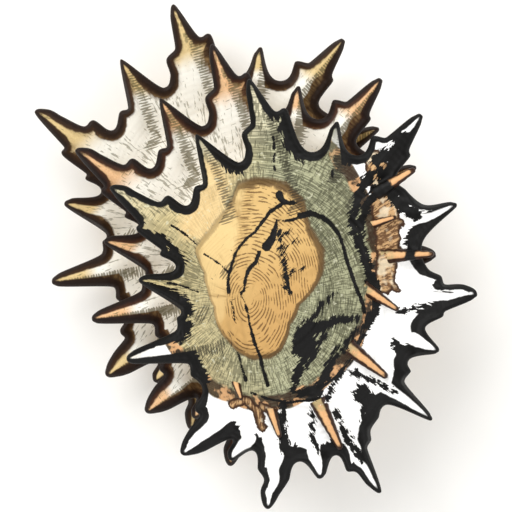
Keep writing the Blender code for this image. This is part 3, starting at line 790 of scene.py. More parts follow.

# Rough black patches of painted shade: the same, with a wider, broken edge.
SHADE_PATCHES = (
    (0.9, 0.9, 55, ((279, 232), (281, 245), (282, 256), (285, 268), (286, 280), (288, 293))),
    (0.35, 0.35, 55, ((292, 229), (283, 236), (280, 240))),
    (0.35, 0.35, 55, ((298, 240), (288, 245), (283, 249))),
    (0.35, 0.35, 55, ((302, 268), (292, 272), (286, 278))),
    (1.6, 1.5, 45, ((376, 190), (366, 207), (359, 224), (360, 242), (366, 262), (371, 280))),
    (1.9, 1.3, 45, ((371, 280), (377, 296), (374, 312), (365, 328))),
    (0.9, 0.8, 45, ((365, 328), (352, 354), (338, 376), (326, 398))),
    (0.8, 1.9, 45, ((356, 330), (341, 348), (330, 362), (322, 380), (314, 394))),
    (1.0, 2.0, 47, ((358, 318), (338, 320), (318, 326))),
    (2.8, 3.2, 47, ((312, 328), (303, 335), (303, 348))),
    (1.7, 1.2, 47, ((312, 342), (306, 356), (297, 372), (293, 390))),
    (1.3, 0.8, 46, ((324, 334), (315, 350), (306, 366))),
    (1.6, 1.3, 45, ((300, 393), (309, 389), (316, 393))),
    (0.5, 1.0, 48, ((334, 292), (323, 302), (314, 315), (304, 324))),
    (3.0, 3.4, 43, ((402, 140), (405, 158), (410, 176), (414, 196))),
    (1.6, 2.0, 43, ((380, 172), (388, 190), (400, 206), (416, 214))),
    (1.0, 0.6, 43, ((399, 312), (411, 309), (424, 306))),
    (1.6, 1.2, 43, ((396, 344), (402, 356), (405, 366))),
    (2.2, 2.6, 43, ((377, 160), (392, 153), (406, 148))),
    (1.8, 1.2, 45, ((370, 176), (358, 198), (352, 222), (357, 244))),
    (0.9, 0.8, 43, ((353, 372), (366, 378), (380, 385), (396, 392))),
    (2.6, 2.2, 43, ((362, 392), (368, 404), (372, 416), (372, 430))),
    (1.0, 1.3, 43, ((336, 412), (342, 428), (350, 444), (362, 458))),
    (1.0, 0.8, 43, ((313, 408), (312, 430), (318, 450))),
    (1.2, 1.5, 43, ((283, 402), (282, 424), (286, 450))),
    (1.2, 1.0, 43, ((158, 236), (167, 243), (176, 250), (183, 262))),
    (1.0, 2.0, 43, ((146, 285), (160, 289), (174, 294), (184, 301), (188, 309))),
    (1.7, 1.5, 43, ((188, 325), (186, 333), (178, 338))),
)

# Brown shell of an older stage that shows beyond the last ledge.
BROWNS = (
    (3.2, 4.4, 43, ((374, 160), (380, 174), (384, 190), (385, 212))),
    (4.4, 3.2, 43, ((385, 212), (388, 236), (387, 258), (384, 284))),
    (1.6, 1.2, 43, ((390, 224), (402, 222))),
    (1.8, 1.2, 43, ((392, 250), (408, 252))),
    (1.6, 1.1, 43, ((388, 280), (398, 290))),
    (1.6, 1.5, 43, ((232, 404), (246, 400), (258, 410), (262, 428))),
    (1.5, 1.2, 43, ((262, 406), (274, 410), (280, 430))),
)


def strokes(points, table, seed, rough):
    """Signed distance in millimetres to the nearest of the strokes: below 0 inside one."""
    found = np.full(len(points), 9.0)
    ragged = rough * wave_noise(points, 1.6, seed)
    for start, end, height, route in table:
        far, where = line_distance(points, from_photo(route, height))
        found = np.minimum(found, far + ragged - (start + (end - start) * where))
    return found


# %% [markdown]
# ## Relief on the dome
#
# Growth lines lie close together on the right of the disc, and on the left it is smooth. A sine of the
# growth gives evenly spaced lines, and noise bends them a little, because real ones record uneven seasons.
# The relief has one ridge for every two painted lines, since finer ridges would be lost on this mesh.

# %% The third frill with its dome
HOLLOW_HALF = (23.0, 28.0)
HOLLOW_UP = 13.5
HOLLOW_DOWN = 26.0
SEAM_GAP = 0.3
MARGIN_SHARE = 1.13  # how far the flat margin reaches beyond the hollow, under the collar
LINE_STEP = 0.85  # from one painted growth line on the disc to the next
DISC_LONG = 1.4  # how much longer the lines' ovals are than wide
RIDGE_HEIGHT = 0.09
FLANK_LINES = 22
CRACK_DEPTH = 0.35
DOME_SUNK = 0.25  # keeps the fine relief within the solid
CEILING_CLEAR = 0.05

# The disc's edge, read off the photo in pixels, round the knob where its growth began.
DISC_KNOB = (250, 300)
DISC_EDGE = (
    (195, 249), (211, 228), (224, 211), (233, 198), (238, 184), (258, 179), (275, 179), (289, 186),
    (303, 204), (310, 228), (322, 252), (323, 269), (317, 283), (299, 304), (289, 324), (281, 348),
    (269, 358), (252, 358), (238, 352), (228, 341), (219, 328), (214, 307), (207, 290), (204, 273),
    (197, 259),
)
DISC_AT = 55


def disc_share(points):
    """0 at the knob and 1 on the disc's edge."""
    knob = from_photo([DISC_KNOB], DISC_AT)[0]
    rim = from_photo(DISC_EDGE, DISC_AT) - knob
    rim_turn = np.arctan2(rim[:, 1], rim[:, 0])
    order = np.argsort(rim_turn)
    rel = points - knob
    turn = np.arctan2(rel[:, 1], rel[:, 0])
    reach = np.interp(turn, rim_turn[order], np.hypot(*rim.T)[order], period=2 * math.pi)
    return np.hypot(*rel.T) / reach


def disc_growth(points):
    """Millimetres of growth since the knob, on long ovals that uneven seasons have bent."""
    away = (points - from_photo([DISC_KNOB], DISC_AT)[0]) / (1.0, DISC_LONG)
    return np.hypot(*away.T) + 2.2 * wave_noise(points, 13.0, 4.4) + 0.4 * wave_noise(points, 4.0, 6.4)


def crack_distance(points):
    return strokes(points, CRACKS, 5.0, 0.3)


# Foot, tip and thickness at the foot of the thorns that stand on the dome.
INNER_THORNS = (
    ((20.5, 30.5), (34.5, 39.3), 2.5),
    ((24.0, 13.0), (40.2, 13.8), 2.5),
    ((18.5, 4.0), (29.4, -3.0), 2.2),
    ((14.0, -13.5), (26.1, -23.1), 2.7),
    ((5.0, -29.5), (12.3, -44.7), 2.7),
    ((-9.4, -30.0), (-6.0, -41.1), 2.0),
    ((19.5, 22.0), (28.8, 24.9), 1.7),
    ((-19.6, -22.5), (-17.4, -29.7), 1.6),
)


def domed_frill(name, frill, seed):
    inner = np.array([(*foot, *tip, 0.0) for foot, tip, _ in INNER_THORNS])
    every_thorn = np.vstack([THORNS, inner])

    def top(points, distance):
        lined = smooth((1.0 - disc_share(points)) / 0.04)
        outer = dome_share(points) + 0.02 * wave_noise(points, 6.0, 9.0)
        ridges = np.sin(math.pi * disc_growth(points) / LINE_STEP) * lined
        ridges += np.sin(2 * math.pi * outer * FLANK_LINES) * (1.0 - lined) * smooth((1.0 - outer) / 0.1)
        groove = CRACK_DEPTH * smooth(0.5 - crack_distance(points))
        raised = lip_and_ribs(points, distance, every_thorn) + dome_height(points)
        fine = RIDGE_HEIGHT * ridges - groove + relief(points, distance, seed) * (1.0 - 0.7 * lined)
        return raised + fine - DOME_SUNK * smooth(distance / RIB_FADE)

    def bottom(points, distance):
        drop = underside(frill, points, distance, seed)
        place = points * frill["size"] + frill["centre"] - SEAM_CENTRE
        room = np.hypot(place[:, 0] / HOLLOW_HALF[0], place[:, 1] / HOLLOW_HALF[1])
        vault = HOLLOW_UP * np.sqrt(np.clip(1.0 - room**2, 0.0, None))
        ceiling = SEAM_LEVEL + SEAM_GAP + CEILING_CLEAR + vault
        return np.where(room < MARGIN_SHARE, plate_level(frill, points) - ceiling, drop)

    def more(points):
        second = np.array(FRILL_SECOND["centre"]) - frill["centre"]
        older = body_share((points - second) / FRILL_SECOND["size"])
        return {
            "ring": disc_share(points) + 0.018 * wave_noise(points, 5.0, 4.4),
            "grown": disc_growth(points),
            "crack": crack_distance(points),
            "shade_patch": strokes(points, SHADE_PATCHES, 6.0, 0.9),
            "brown": strokes(points, BROWNS, 8.0, 0.7),
            "older": older + 0.02 * wave_noise(points, 6.0, 8.0),
        }

    return lift_plan(name, frill, fill_plan(DOME_STEP, None), top, bottom, more)


third_frill = domed_frill("third_frill", FRILL_THIRD, 3.0)

# %% [markdown]
# ## Thorns of the inner row
#
# These stand on the upper valve between the ledge and the frill's own thorns. Each is a tube of its own,
# swept along a bowed line and flattened, so it gets a pointed tip and a foot that sinks into the dome.

# %% Inner thorns
INNER_RINGS = 46
INNER_SIDES = 28
INNER_SINK = 1.2
INNER_CLEAR = 2.6
INNER_POINT = 0.34  # the tip's thickness, as a share of the foot's
INNER_BOW = 1.6
INNER_OVER = 0.2  # the least height of a thorn's middle line over the dome, at the tip
INNER_CLOSE = 0.93  # the share of its length where the tip starts to close
INNER_FLAT = 0.92
INNER_WAVES = 46


def ring_faces(rings):
    """Four-sided faces between rows of point numbers, where every row runs once round."""
    after = np.roll(rings, -1, 1)
    return np.stack([rings[:-1], after[:-1], after[1:], rings[1:]], -1).reshape(-1, 4)


def halved(faces):
    """Two triangles for every four-sided face."""
    return np.vstack([faces[:, [0, 1, 2]], faces[:, [0, 2, 3]]])


def inner_ground(points):
    return FRILL_THIRD["level"] + PLATE_HALF + dome_height(points)


def inner_thorn(index, foot, tip, thickness):
    """Corners, triangles and colour measures of one inner thorn."""
    share = np.linspace(0.0, 1.0, INNER_RINGS)
    flat = foot + (tip - foot) * share[:, None]
    low = inner_ground(foot[None])[0] - INNER_SINK
    high = inner_ground(tip[None])[0] + INNER_CLEAR
    height = low + (high - low) * share + INNER_BOW * np.sin(math.pi * share)
    height = np.maximum(height, inner_ground(flat) + INNER_OVER * share)
    radius = thickness * (1.0 - (1.0 - INNER_POINT) * share**1.1)
    closing = np.clip((share - INNER_CLOSE) / (1.0 - INNER_CLOSE), 0.0, 1.0)
    radius *= np.sqrt(1.0 - closing**2) * 0.97 + 0.001
    ahead = (tip - foot) / np.hypot(*(tip - foot))
    across = np.array([ahead[1], -ahead[0]])
    placed = flat * FRILL_THIRD["size"] + FRILL_THIRD["centre"]
    corners, out, lit, off = [], [], [], []
    for i in range(INNER_RINGS):
        for turn in np.linspace(0.0, 2 * math.pi, INNER_SIDES, endpoint=False):
            side, rise = math.cos(turn), math.sin(turn)
            uneven = 1.0 + 0.05 * noise.noise(Vector((side * 2, rise * 2, share[i] * 9 + index * 3.3)))
            uneven += 0.025 * math.sin(share[i] * INNER_WAVES + 0.6 * rise)
            reach = radius[i] * uneven
            spot = placed[i] + across * side * reach * FRILL_THIRD["size"]
            corners.append((*spot, height[i] + rise * reach * INNER_FLAT))
            out.append(share[i])
            lit.append(side * float(across @ LIGHT_FROM) + 0.3 * rise)
            off.append(abs(side) if rise > 0 else 1.2)
    last = len(corners)
    corners += [(*placed[0], height[0]), (*placed[-1], height[-1])]
    rings = np.arange(last).reshape(INNER_RINGS, INNER_SIDES)
    after = np.roll(rings, -1, 1)
    ends = [(last, after[0, k], rings[0, k]) for k in range(INNER_SIDES)]
    ends += [(last + 1, rings[-1, k], after[-1, k]) for k in range(INNER_SIDES)]
    measures = {"out": out + [0.0, 1.0], "lit": lit + [0.0, 0.0], "off": off + [1.0, 1.0]}
    return corners, np.vstack([halved(ring_faces(rings)), ends]), measures


def inner_row():
    corners, faces, measures = [], [], {"out": [], "lit": [], "off": []}
    for i, (foot, tip, thickness) in enumerate(INNER_THORNS):
        own_corners, own_faces, own_measures = inner_thorn(i, np.array(foot), np.array(tip), thickness)
        faces.append(own_faces + len(corners))
        corners += own_corners
        for key, values in own_measures.items():
            measures[key] += values
    measures = {key: np.array(values) for key, values in measures.items()}
    return add_mesh("inner_thorns", np.array(corners), np.vstack(faces), measures)


inner_thorns = inner_row()

# %% [markdown]
# ## The walls
#
# Below the frills the lower valve is a cup, from the flat scar to the seam, and the upper valve has a low
# collar. Both are turned shapes stretched to an oval. Radial ribs and uneven growth steps make them shell.

# %% The cup's wall and the collar
CUP_WALL = ((29.0, 33.0), (30.2, 29.0), (31.0, 21.0), (30.2, 13.0), (27.6, 6.0), (24.6, 1.8), (21.5, 0.0))
COLLAR_WALL = ((29.0, 33.3), (30.6, 39.5))
WALL_TURNS = 560
WALL_RIBS = 46
WALL_RIB_HEIGHT = 0.45
CUP_ROWS = 64
COLLAR_ROWS = 20
SEAM_FLAT = 1.6
SEAM_ROUND = 0.6


def smooth_profile(rows, count):
    """Even points on a smooth line through the profile's rows."""
    rows = np.array(rows, float)
    lengths = np.concatenate([[0.0], np.cumsum(np.hypot(*np.diff(rows, axis=0).T))])
    wanted = np.linspace(0.0, lengths[-1], count)
    line = np.column_stack([np.interp(wanted, lengths, rows[:, k]) for k in (0, 1)])
    for _ in range(count // 2):
        line[1:-1] = (line[:-2] + line[2:] + 2 * line[1:-1]) / 4
    return line


def wall_bump(turn, height, rough, seed):
    """How far the wall stands out: ribs run up it, and uneven layers run round it."""
    if rough <= 0.0:
        return 0.0
    x, y = math.cos(turn), math.sin(turn)
    bend = 0.8 * noise.noise(Vector((x * 3, y * 3, height / 9)))
    ribs = 0.5 + 0.5 * math.cos(turn * WALL_RIBS + bend)
    layer = noise.noise(Vector((x * 2.2, y * 2.2, height / 1.7 + seed)))
    return rough * (WALL_RIB_HEIGHT * (ribs - 1.0) + 0.45 * min(layer, 0.3) - 0.1)


def turned_wall(name, profile, seed, is_ring):
    """A closed turned shape: rows (radius, height, rough) from pole to pole, or round a ring's section."""
    corners, bumps = [], []
    for radius, height, rough in profile:
        x0, y0 = wall_centre(height)[0]
        for turn in np.linspace(0.0, 2 * math.pi, WALL_TURNS, endpoint=False):
            bumps.append(wall_bump(turn, height, rough, seed))
            reach = radius + bumps[-1]
            side, ahead = reach * math.cos(turn), reach * math.sin(turn) * LONG_OVER_WIDE
            corners.append((x0 + side, y0 + ahead, height))
    rings = np.arange(len(corners)).reshape(len(profile), WALL_TURNS)
    if is_ring:
        rings = np.vstack([rings, rings[:1]])
    faces = halved(ring_faces(rings)[:, [0, 3, 2, 1]])
    if not is_ring:
        after = np.roll(rings, -1, 1)
        first, last = len(corners), len(corners) + 1
        corners += [(*wall_centre(profile[end][1])[0], profile[end][1]) for end in (0, -1)]
        bumps += [0.0, 0.0]
        ends = [(first, rings[0, k], after[0, k]) for k in range(WALL_TURNS)]
        ends += [(last, after[-1, k], rings[-1, k]) for k in range(WALL_TURNS)]
        faces = np.vstack([faces, ends])
    return add_mesh(name, np.array(corners), faces, {"bump": np.array(bumps)})


def cup_profile():
    """From the bottom of the hollow, up inside, over the seam, down the wall to the middle of the scar."""
    rows = []
    for share in np.linspace(0.03, 1.0, 26):
        turn = share * math.pi / 2
        rows.append((HOLLOW_HALF[0] * math.sin(turn), SEAM_LEVEL - HOLLOW_DOWN * math.cos(turn), 0.0))
    rows.append((HOLLOW_HALF[0] + 1.5, SEAM_LEVEL, 0.0))
    rows.append((CUP_WALL[0][0] - SEAM_FLAT, SEAM_LEVEL, 0.0))
    rows.append((CUP_WALL[0][0] - SEAM_ROUND, SEAM_LEVEL - 0.1, 0.6))
    ease = np.minimum(np.linspace(0.6, 6.0, CUP_ROWS), 1.0)
    ease *= np.minimum(np.linspace(10.0, 0.0, CUP_ROWS), 1.0)
    rows += [(r, max(z, 0.0), e) for (r, z), e in zip(smooth_profile(CUP_WALL, CUP_ROWS), ease)]
    return rows + [(r, 0.0, 0.0) for r in (19.0, 14.0, 8.0, 3.0)]


def collar_profile():
    """The section of the ring between the hollow and the collar's outer wall."""
    low = SEAM_LEVEL + SEAM_GAP
    inner = HOLLOW_HALF[0] + 0.3
    rows = [(inner, low + 2.0, 0.0), (inner, low, 0.0), (COLLAR_WALL[0][0] - SEAM_FLAT, low, 0.0)]
    rows += [(COLLAR_WALL[0][0] - SEAM_ROUND, low + 0.1, 0.6)]
    rows += [(r, z, 1.0) for r, z in smooth_profile(COLLAR_WALL, COLLAR_ROWS)]
    return rows + [(27.0, COLLAR_WALL[-1][1], 0.0)]


cup_wall = turned_wall("cup_wall", cup_profile(), 11.0, False)
collar = turned_wall("collar", collar_profile(), 17.0, True)

# %% [markdown]
# ## Rows of small scales
#
# The wall's ribs carry rows of hooked scales, and small teeth stand round the seam. Both are one small
# hooked shape, set many times over. Making each by hand would be slow, so a Geometry Nodes tree sets the
# shape on every point of a piece that holds only places and aims.

# %% The hooked shape
HOOK_RINGS = 12
HOOK_SIDES = 10
HOOK_SINK = 0.25  # the share of its length by which the foot is sunk
HOOK_HALF = 0.34
HOOK_BEND = 0.45
HOOK_FLAT = 0.55


def hook_mesh():
    """A flattened thorn one metre long along z that bends towards x, with its share of the way as tip."""
    corners, tips = [], []
    for share in np.linspace(0.0, 1.0, HOOK_RINGS):
        half = HOOK_HALF * (1.0 - share**1.6) + 0.015
        for turn in np.linspace(0.0, 2 * math.pi, HOOK_SIDES, endpoint=False):
            x = HOOK_BEND * share * share + HOOK_FLAT * half * math.cos(turn)
            corners.append((x, half * math.sin(turn), share - HOOK_SINK))
            tips.append(share)
    rings = np.arange(len(corners)).reshape(HOOK_RINGS, HOOK_SIDES)
    faces = ring_faces(rings).tolist() + [rings[0, ::-1].tolist(), rings[-1].tolist()]
    data = bpy.data.meshes.new("hook")
    data.from_pydata(corners, [], faces)
    data.shade_smooth()
    data.attributes.new("tip", "FLOAT", "POINT").data.foreach_set("value", tips)
    return bpy.data.objects.new("hook", data)


HOOK = hook_mesh()
print("hook faces", len(HOOK.data.polygons))

# %% [markdown]
# The tree reads each point's aim, turns the hook to it, gives it a size between the least and the most,
# and ends with real geometry and its finish.

# %% The tree that sets hooks on points
def scatter_tree():
    tree = bpy.data.node_groups.new("hooks_on_points", "GeometryNodeTree")
    sockets = (
        ("Points", "Geometry"), ("Hook", "Object"), ("Least", "Float"), ("Most", "Float"), ("Seed", "Int"),
        ("Finish", "Material"),
    )
    for name, kind in sockets:
        tree.interface.new_socket(name, in_out="INPUT", socket_type="NodeSocket" + kind)
    tree.interface.new_socket("Hooks", in_out="OUTPUT", socket_type="NodeSocketGeometry")
    given = tree.nodes.new("NodeGroupInput")
    result = tree.nodes.new("NodeGroupOutput")
    hook = tree.nodes.new("GeometryNodeObjectInfo")
    aim = tree.nodes.new("GeometryNodeInputNamedAttribute")
    aim.data_type = "FLOAT_VECTOR"
    aim.inputs["Name"].default_value = "aim"
    along = tree.nodes.new("FunctionNodeAlignRotationToVector")
    along.axis = "Z"
    bend = tree.nodes.new("FunctionNodeAlignRotationToVector")
    bend.axis = "X"
    bend.pivot_axis = "Z"
    bend.inputs["Vector"].default_value = (0.0, 0.0, 1.0)
    size = tree.nodes.new("FunctionNodeRandomValue")
    size.data_type = "FLOAT"
    setter = tree.nodes.new("GeometryNodeInstanceOnPoints")
    real = tree.nodes.new("GeometryNodeRealizeInstances")
    dressed = tree.nodes.new("GeometryNodeSetMaterial")
    least, most = [s for s in size.inputs if s.enabled and s.name in ("Min", "Max")]
    value = next(s for s in size.outputs if s.enabled)
    for start, end in (
        (given.outputs["Hook"], hook.inputs["Object"]),
        (given.outputs["Least"], least),
        (given.outputs["Most"], most),
        (given.outputs["Seed"], size.inputs["Seed"]),
        (next(s for s in aim.outputs if s.enabled), along.inputs["Vector"]),
        (along.outputs["Rotation"], bend.inputs["Rotation"]),
        (given.outputs["Points"], setter.inputs["Points"]),
        (hook.outputs["Geometry"], setter.inputs["Instance"]),
        (bend.outputs["Rotation"], setter.inputs["Rotation"]),
        (value, setter.inputs["Scale"]),
        (setter.outputs["Instances"], real.inputs["Geometry"]),
        (real.outputs["Geometry"], dressed.inputs["Geometry"]),
        (given.outputs["Finish"], dressed.inputs["Material"]),
        (dressed.outputs["Geometry"], result.inputs["Hooks"]),
    ):
        tree.links.new(start, end)
    return tree


SCATTER = scatter_tree()
print("nodes in the tree", len(SCATTER.nodes))


def set_hooks(name, places, aims, least, most, seed, finish):
    """A plain mesh of hooks at millimetre places in the frame's plan, sized in millimetres."""
    anchors = bpy.data.meshes.new(name)
    placed = np.array(places)
    placed[:, 0:2] += PLAN_SHIFT
    anchors.from_pydata((placed * MM).tolist(), [], [])
    anchors.attributes.new("aim", "FLOAT_VECTOR", "POINT").data.foreach_set("vector", np.ravel(aims))
    piece = bpy.data.objects.new(name, anchors)
    bpy.context.scene.collection.objects.link(piece)
    adder = piece.modifiers.new("hooks", "NODES")
    adder.node_group = SCATTER
    given = {"Hook": HOOK, "Least": least * MM, "Most": most * MM, "Seed": seed, "Finish": finish}
    for socket in SCATTER.interface.items_tree:
        if socket.in_out == "INPUT" and socket.name in given:
            adder[socket.identifier] = given[socket.name]
    piece.update_tag()
    made = piece.evaluated_get(bpy.context.evaluated_depsgraph_get())
    plain = bpy.data.meshes.new_from_object(made)
    piece.modifiers.clear()
    piece.data = plain
    print(name, "hooks", len(places), "faces", len(plain.polygons))
    return piece


# %% [markdown]
# ## A small language for finishes
#
# A shader is a net of nodes, but most of it is plain arithmetic. Value wraps a socket and turns + - * /
# into Math nodes, so a mask can be written as it would be on paper. Every other node comes from
# Finish.node, which takes the node's type, its settings, and then what goes into its sockets.

# %% Values and finishes
class Value:
    """A number or a vector that comes out of a shader socket."""

    def __init__(self, finish, socket):
        self.finish = finish
        self.socket = socket

    def maths(self, operation, *others, clamp=False):
        values = dict(enumerate((self, *others)))
        return self.finish.node("ShaderNodeMath", {"operation": operation, "use_clamp": clamp}, values)

    def __add__(self, other):
        return self.maths("ADD", other)

    def __radd__(self, other):
        return self.maths("ADD", other)

    def __sub__(self, other):
        return self.maths("SUBTRACT", other)

    def __rsub__(self, other):
        return (self * -1.0) + other

    def __mul__(self, other):
        return self.maths("MULTIPLY", other)

    def __rmul__(self, other):
        return self.maths("MULTIPLY", other)

    def __truediv__(self, other):
        return self.maths("DIVIDE", other)

    def __abs__(self):
        return self.maths("ABSOLUTE")

    def sine(self):
        return self.maths("SINE")

    def clamped(self):
        return self.maths("ADD", 0.0, clamp=True)

    def ramp(self, low, high):
        """0 below low and 1 above high, eased between them."""
        settings = {"interpolation_type": "SMOOTHSTEP"}
        return self.finish.node("ShaderNodeMapRange", settings, {0: self, 1: low, 2: high, 3: 0.0, 4: 1.0})


class Finish:
    """A material with a Principled shader, and the short calls that fill it."""

    def __init__(self, name):
        self.material = bpy.data.materials.new(name)
        self.material.use_nodes = True
        self.tree = self.material.node_tree
        self.shader = self.tree.nodes["Principled BSDF"]
        raw = self.node("ShaderNodeTexCoord", {}, {}, "Object")
        self.place = self.vector("SCALE", raw, scale=1.0 / MM)

    def node(self, kind, settings, sockets, output=0):
        made = self.tree.nodes.new(kind)
        for key, value in settings.items():
            setattr(made, key, value)
        for key, value in sockets.items():
            if isinstance(value, Value):
                self.tree.links.new(value.socket, made.inputs[key])
            else:
                made.inputs[key].default_value = value
        return Value(self, made.outputs[output])

    def vector(self, operation, first, second=None, scale=None):
        sockets = {0: first}
        if second is not None:
            sockets[1] = second
        if scale is not None:
            sockets["Scale"] = scale
        output = "Value" if operation in ("LENGTH", "DOT_PRODUCT") else "Vector"
        return self.node("ShaderNodeVectorMath", {"operation": operation}, sockets, output)

    def measure(self, name):
        return self.node("ShaderNodeAttribute", {"attribute_name": name}, {}, "Fac")

    def noise(self, place, per_mm, detail=2.0, roughness=0.5):
        sockets = {"Vector": place, "Scale": per_mm, "Detail": detail, "Roughness": roughness}
        return self.node("ShaderNodeTexNoise", {}, sockets, 0)

    def mix(self, share, first, second):
        return self.node("ShaderNodeMix", {"data_type": "RGBA"}, {0: share, 6: first, 7: second}, 2)

    def rays(self, centre, count, run, seed):
        """Noise drawn out along rays from a centre: so many to a turn, each about run mm long."""
        flat = self.vector("MULTIPLY", self.place, (1.0, 1.0, 0.0))
        rel = self.vector("SUBTRACT", flat, (*centre, 0.0))
        radius = self.vector("LENGTH", rel)
        ahead = self.vector("NORMALIZE", rel)
        turn = self.vector("SCALE", ahead, scale=count / (2 * math.pi))
        depth = self.node("ShaderNodeCombineXYZ", {}, {2: radius / run + seed})
        return self.noise(self.vector("ADD", turn, depth), 1.0, 2.5, 0.6)

    def finish(self, colour, roughness, height, bump_mm, strength=0.6):
        """Wires the colour, the roughness and a bump of so many millimetres."""
        self.shader.inputs["Specular IOR Level"].default_value = 0.22
        bump = self.node(
            "ShaderNodeBump", {}, {"Height": height, "Strength": strength, "Distance": bump_mm * MM}, "Normal"
        )
        for key, value in (("Base Color", colour), ("Roughness", roughness), ("Normal", bump)):
            self.tree.links.new(value.socket, self.shader.inputs[key])
        return self.material


def paint(red, green, blue):
    """A colour in the 0 to 255 steps of a colour chart, as linear light."""
    def linear(step):
        c = step / 255
        return c / 12.92 if c <= 0.04045 else ((c + 0.055) / 1.055) ** 2.4
    return (linear(red), linear(green), linear(blue), 1.0)


# %% [markdown]
# ## The finish of a frill
#
# The rim is dark, the middle of a thorn is warm, and towards the root the shell is white. On the side turned
# from the light, painted shade deepens the warm colour and adds short olive strokes, brown beside the rim and
# lighter hatching in the dark band. Each of these is a mask from the measures on the mesh, and noise breaks
# every border, because growth leaves none of them even.

# %% Frill finish
HATCH = paint(104, 96, 62)
WHITE_SHELL = paint(250, 247, 236)
UNDER_SHELL = paint(226, 206, 168)
UNDER_RAYS = paint(176, 140, 96)
BLACK = paint(6, 5, 4)
STROKE_STEP = 0.8


def frill_masks(f, soft, wider):
    """The masks that all frills share, with the dark rim so many millimetres wider."""
    edge, band, lit = (f.measure(name) for name in ("edge", "band", "lit"))
    band = band + wider
    ragged = (f.noise(f.place, 0.55, 3.0) - 0.5) * 1.3
    stripe = (f.measure("stripe") + ragged * 0.35).ramp(-0.1, 0.25 + soft * 0.4)
    rim = (band - edge + ragged * 0.7).ramp(-soft, 0.3) * (1.0 - stripe * edge.ramp(0.9, 1.5))
    shaded = (0.25 - lit * 0.75).clamped()
    return edge, band, lit, ragged, rim, shaded, stripe


def both_sides(f, top, rays, rim_depth, rim_paint):
    """The top's colour above, and warm shell with a narrower dark rim below."""
    shell = f.mix(rays.ramp(0.45, 0.7), UNDER_SHELL, UNDER_RAYS)
    below = f.mix(rim_depth.ramp(-0.2, 0.5), shell, rim_paint)
    return f.mix(f.measure("under").ramp(0.4, 0.6), top, below)


def rib_noise(f, along, across):
    """Noise in a thorn's own directions, in bumps so many millimetres along it and across it."""
    spot = {0: f.measure("run") / along, 1: f.measure("off") / across}
    return f.noise(f.node("ShaderNodeCombineXYZ", {}, spot), 1.0, 1.0)


def shade_strokes(f, ragged, more):
    """Short strokes of painted shade across the thorns, on the side of each rib that is turned from the
    light.
    """
    run, lit, off = (f.measure(n) for n in ("run", "lit", "off"))
    wave = (run * (2 * math.pi / STROKE_STEP) + ragged * 2.0).sine()
    where = (lit * -1.0).ramp(0.05, 0.4) * off.ramp(5.5, 2.5)
    return (wave * 0.5 + (rib_noise(f, 0.8, 3.0) - 0.5) * 3.2 + where * 1.5 - 1.1 + more).ramp(0.0, 0.3)


def frill_finish(name, centre, more, rim_dark, rim_warm, stripe_pale, stripe_shade):
    """A lower frill's finish, with so much more of the strokes than the least."""
    f = Finish(name)
    edge, band, _, ragged, rim, shaded, stripe = frill_masks(f, 0.45, 0.4)
    out = f.measure("out")
    rays = f.rays(centre, 420.0, 3.0, 1.0)
    soft_rays = f.rays(centre, 60.0, 14.0, 5.0)
    grain = f.noise(f.place, 2.2, 3.0, 0.6)
    across = shade_strokes(f, ragged, more)
    specks = (rays + (soft_rays - 0.5) * 0.6 + more * 0.1).ramp(0.6, 0.68)
    outer = (out + (soft_rays - 0.5) * 0.3).ramp(0.12, 0.42)
    # The warm colour deepens as painted shade on the side turned from the light, and at random with the
    # grain.
    warm = f.mix(shaded * 0.7 + (grain - 0.5), stripe_pale, stripe_shade)
    body = f.mix(outer, WHITE_SHELL, warm)
    body = f.mix(specks * 0.6, body, HATCH)
    # Olive strokes of painted shade on the side of each rib turned from the light.
    body = f.mix(across * 0.75, body, HATCH)
    # Brown painted shade beside the dark rim, strongest on the side turned from the light.
    shade_near_rim = (band + 1.9 - edge + ragged * 1.4).ramp(0.0, 1.9) * (0.3 + shaded.ramp(0.1, 0.5) * 0.7)
    rim_shade = shade_near_rim * (out + 0.25).ramp(0.0, 0.3) * (1.0 - stripe)
    body = f.mix(rim_shade * (0.55 + rays.ramp(0.4, 0.6) * 0.35), body, paint(96, 72, 40))
    dark = f.mix((edge / band + ragged * 0.25).ramp(0.3, 1.0), rim_dark, rim_warm)
    # Where the dark band is widest, in the bays and as painted shade on the side turned from the light,
    # lighter brown hatching breaks its inner part.
    shade_hatch = (0.5 + (0.5 - rib_noise(f, 0.8, 3.0)) * 2.5).clamped()
    shade_hatch = (edge - 2.4 + ragged * 1.2).ramp(0.0, 1.2) * shade_hatch
    top = f.mix(rim, body, f.mix(shade_hatch * 0.85, dark, paint(138, 110, 70)))
    colour = both_sides(f, top, rays, band * 0.7 - edge + ragged, dark)
    roughness = 0.62 + (grain - 0.5) * 0.3 - rim * 0.08
    return f.finish(colour, roughness, rays * 0.5 + grain * 0.5 - across * 0.2, 0.2)


def plan_place(frill, spot=(0.0, 0.0)):
    """A place in a frill's own plan, in the frame's plan."""
    return tuple(np.array(frill["centre"]) + np.array(spot) * frill["size"] + PLAN_SHIFT)


FIRST_FINISH = frill_finish(
    "first_frill_finish", plan_place(FRILL_FIRST), 0.08,
    rim_dark=paint(34, 19, 9), rim_warm=paint(64, 42, 22),
    stripe_pale=paint(228, 202, 146), stripe_shade=paint(186, 152, 96),
)
SECOND_FINISH = frill_finish(
    "second_frill_finish", plan_place(FRILL_SECOND), 0.3,
    rim_dark=paint(27, 13, 7), rim_warm=paint(70, 40, 22),
    stripe_pale=paint(236, 192, 144), stripe_shade=paint(190, 132, 84),
)
print("frill finishes", len(FIRST_FINISH.node_tree.nodes), "and", len(SECOND_FINISH.node_tree.nodes), "nodes")

# %% [markdown]
# ## The finish of the dome
#
# The dome has a tan disc with growth lines, a grey-green flank with fine rays, dark cracks and rough black
# patches of painted shade, and beyond the last ledge a white flange with black rims. Each is a function of
# its own, and they are laid over one another from the oldest shell to the newest.

# %% Dome finish
CREAM_AT = ((208, 205), 50)  # the middle of the cream patch: its pixel, and the surface's height there


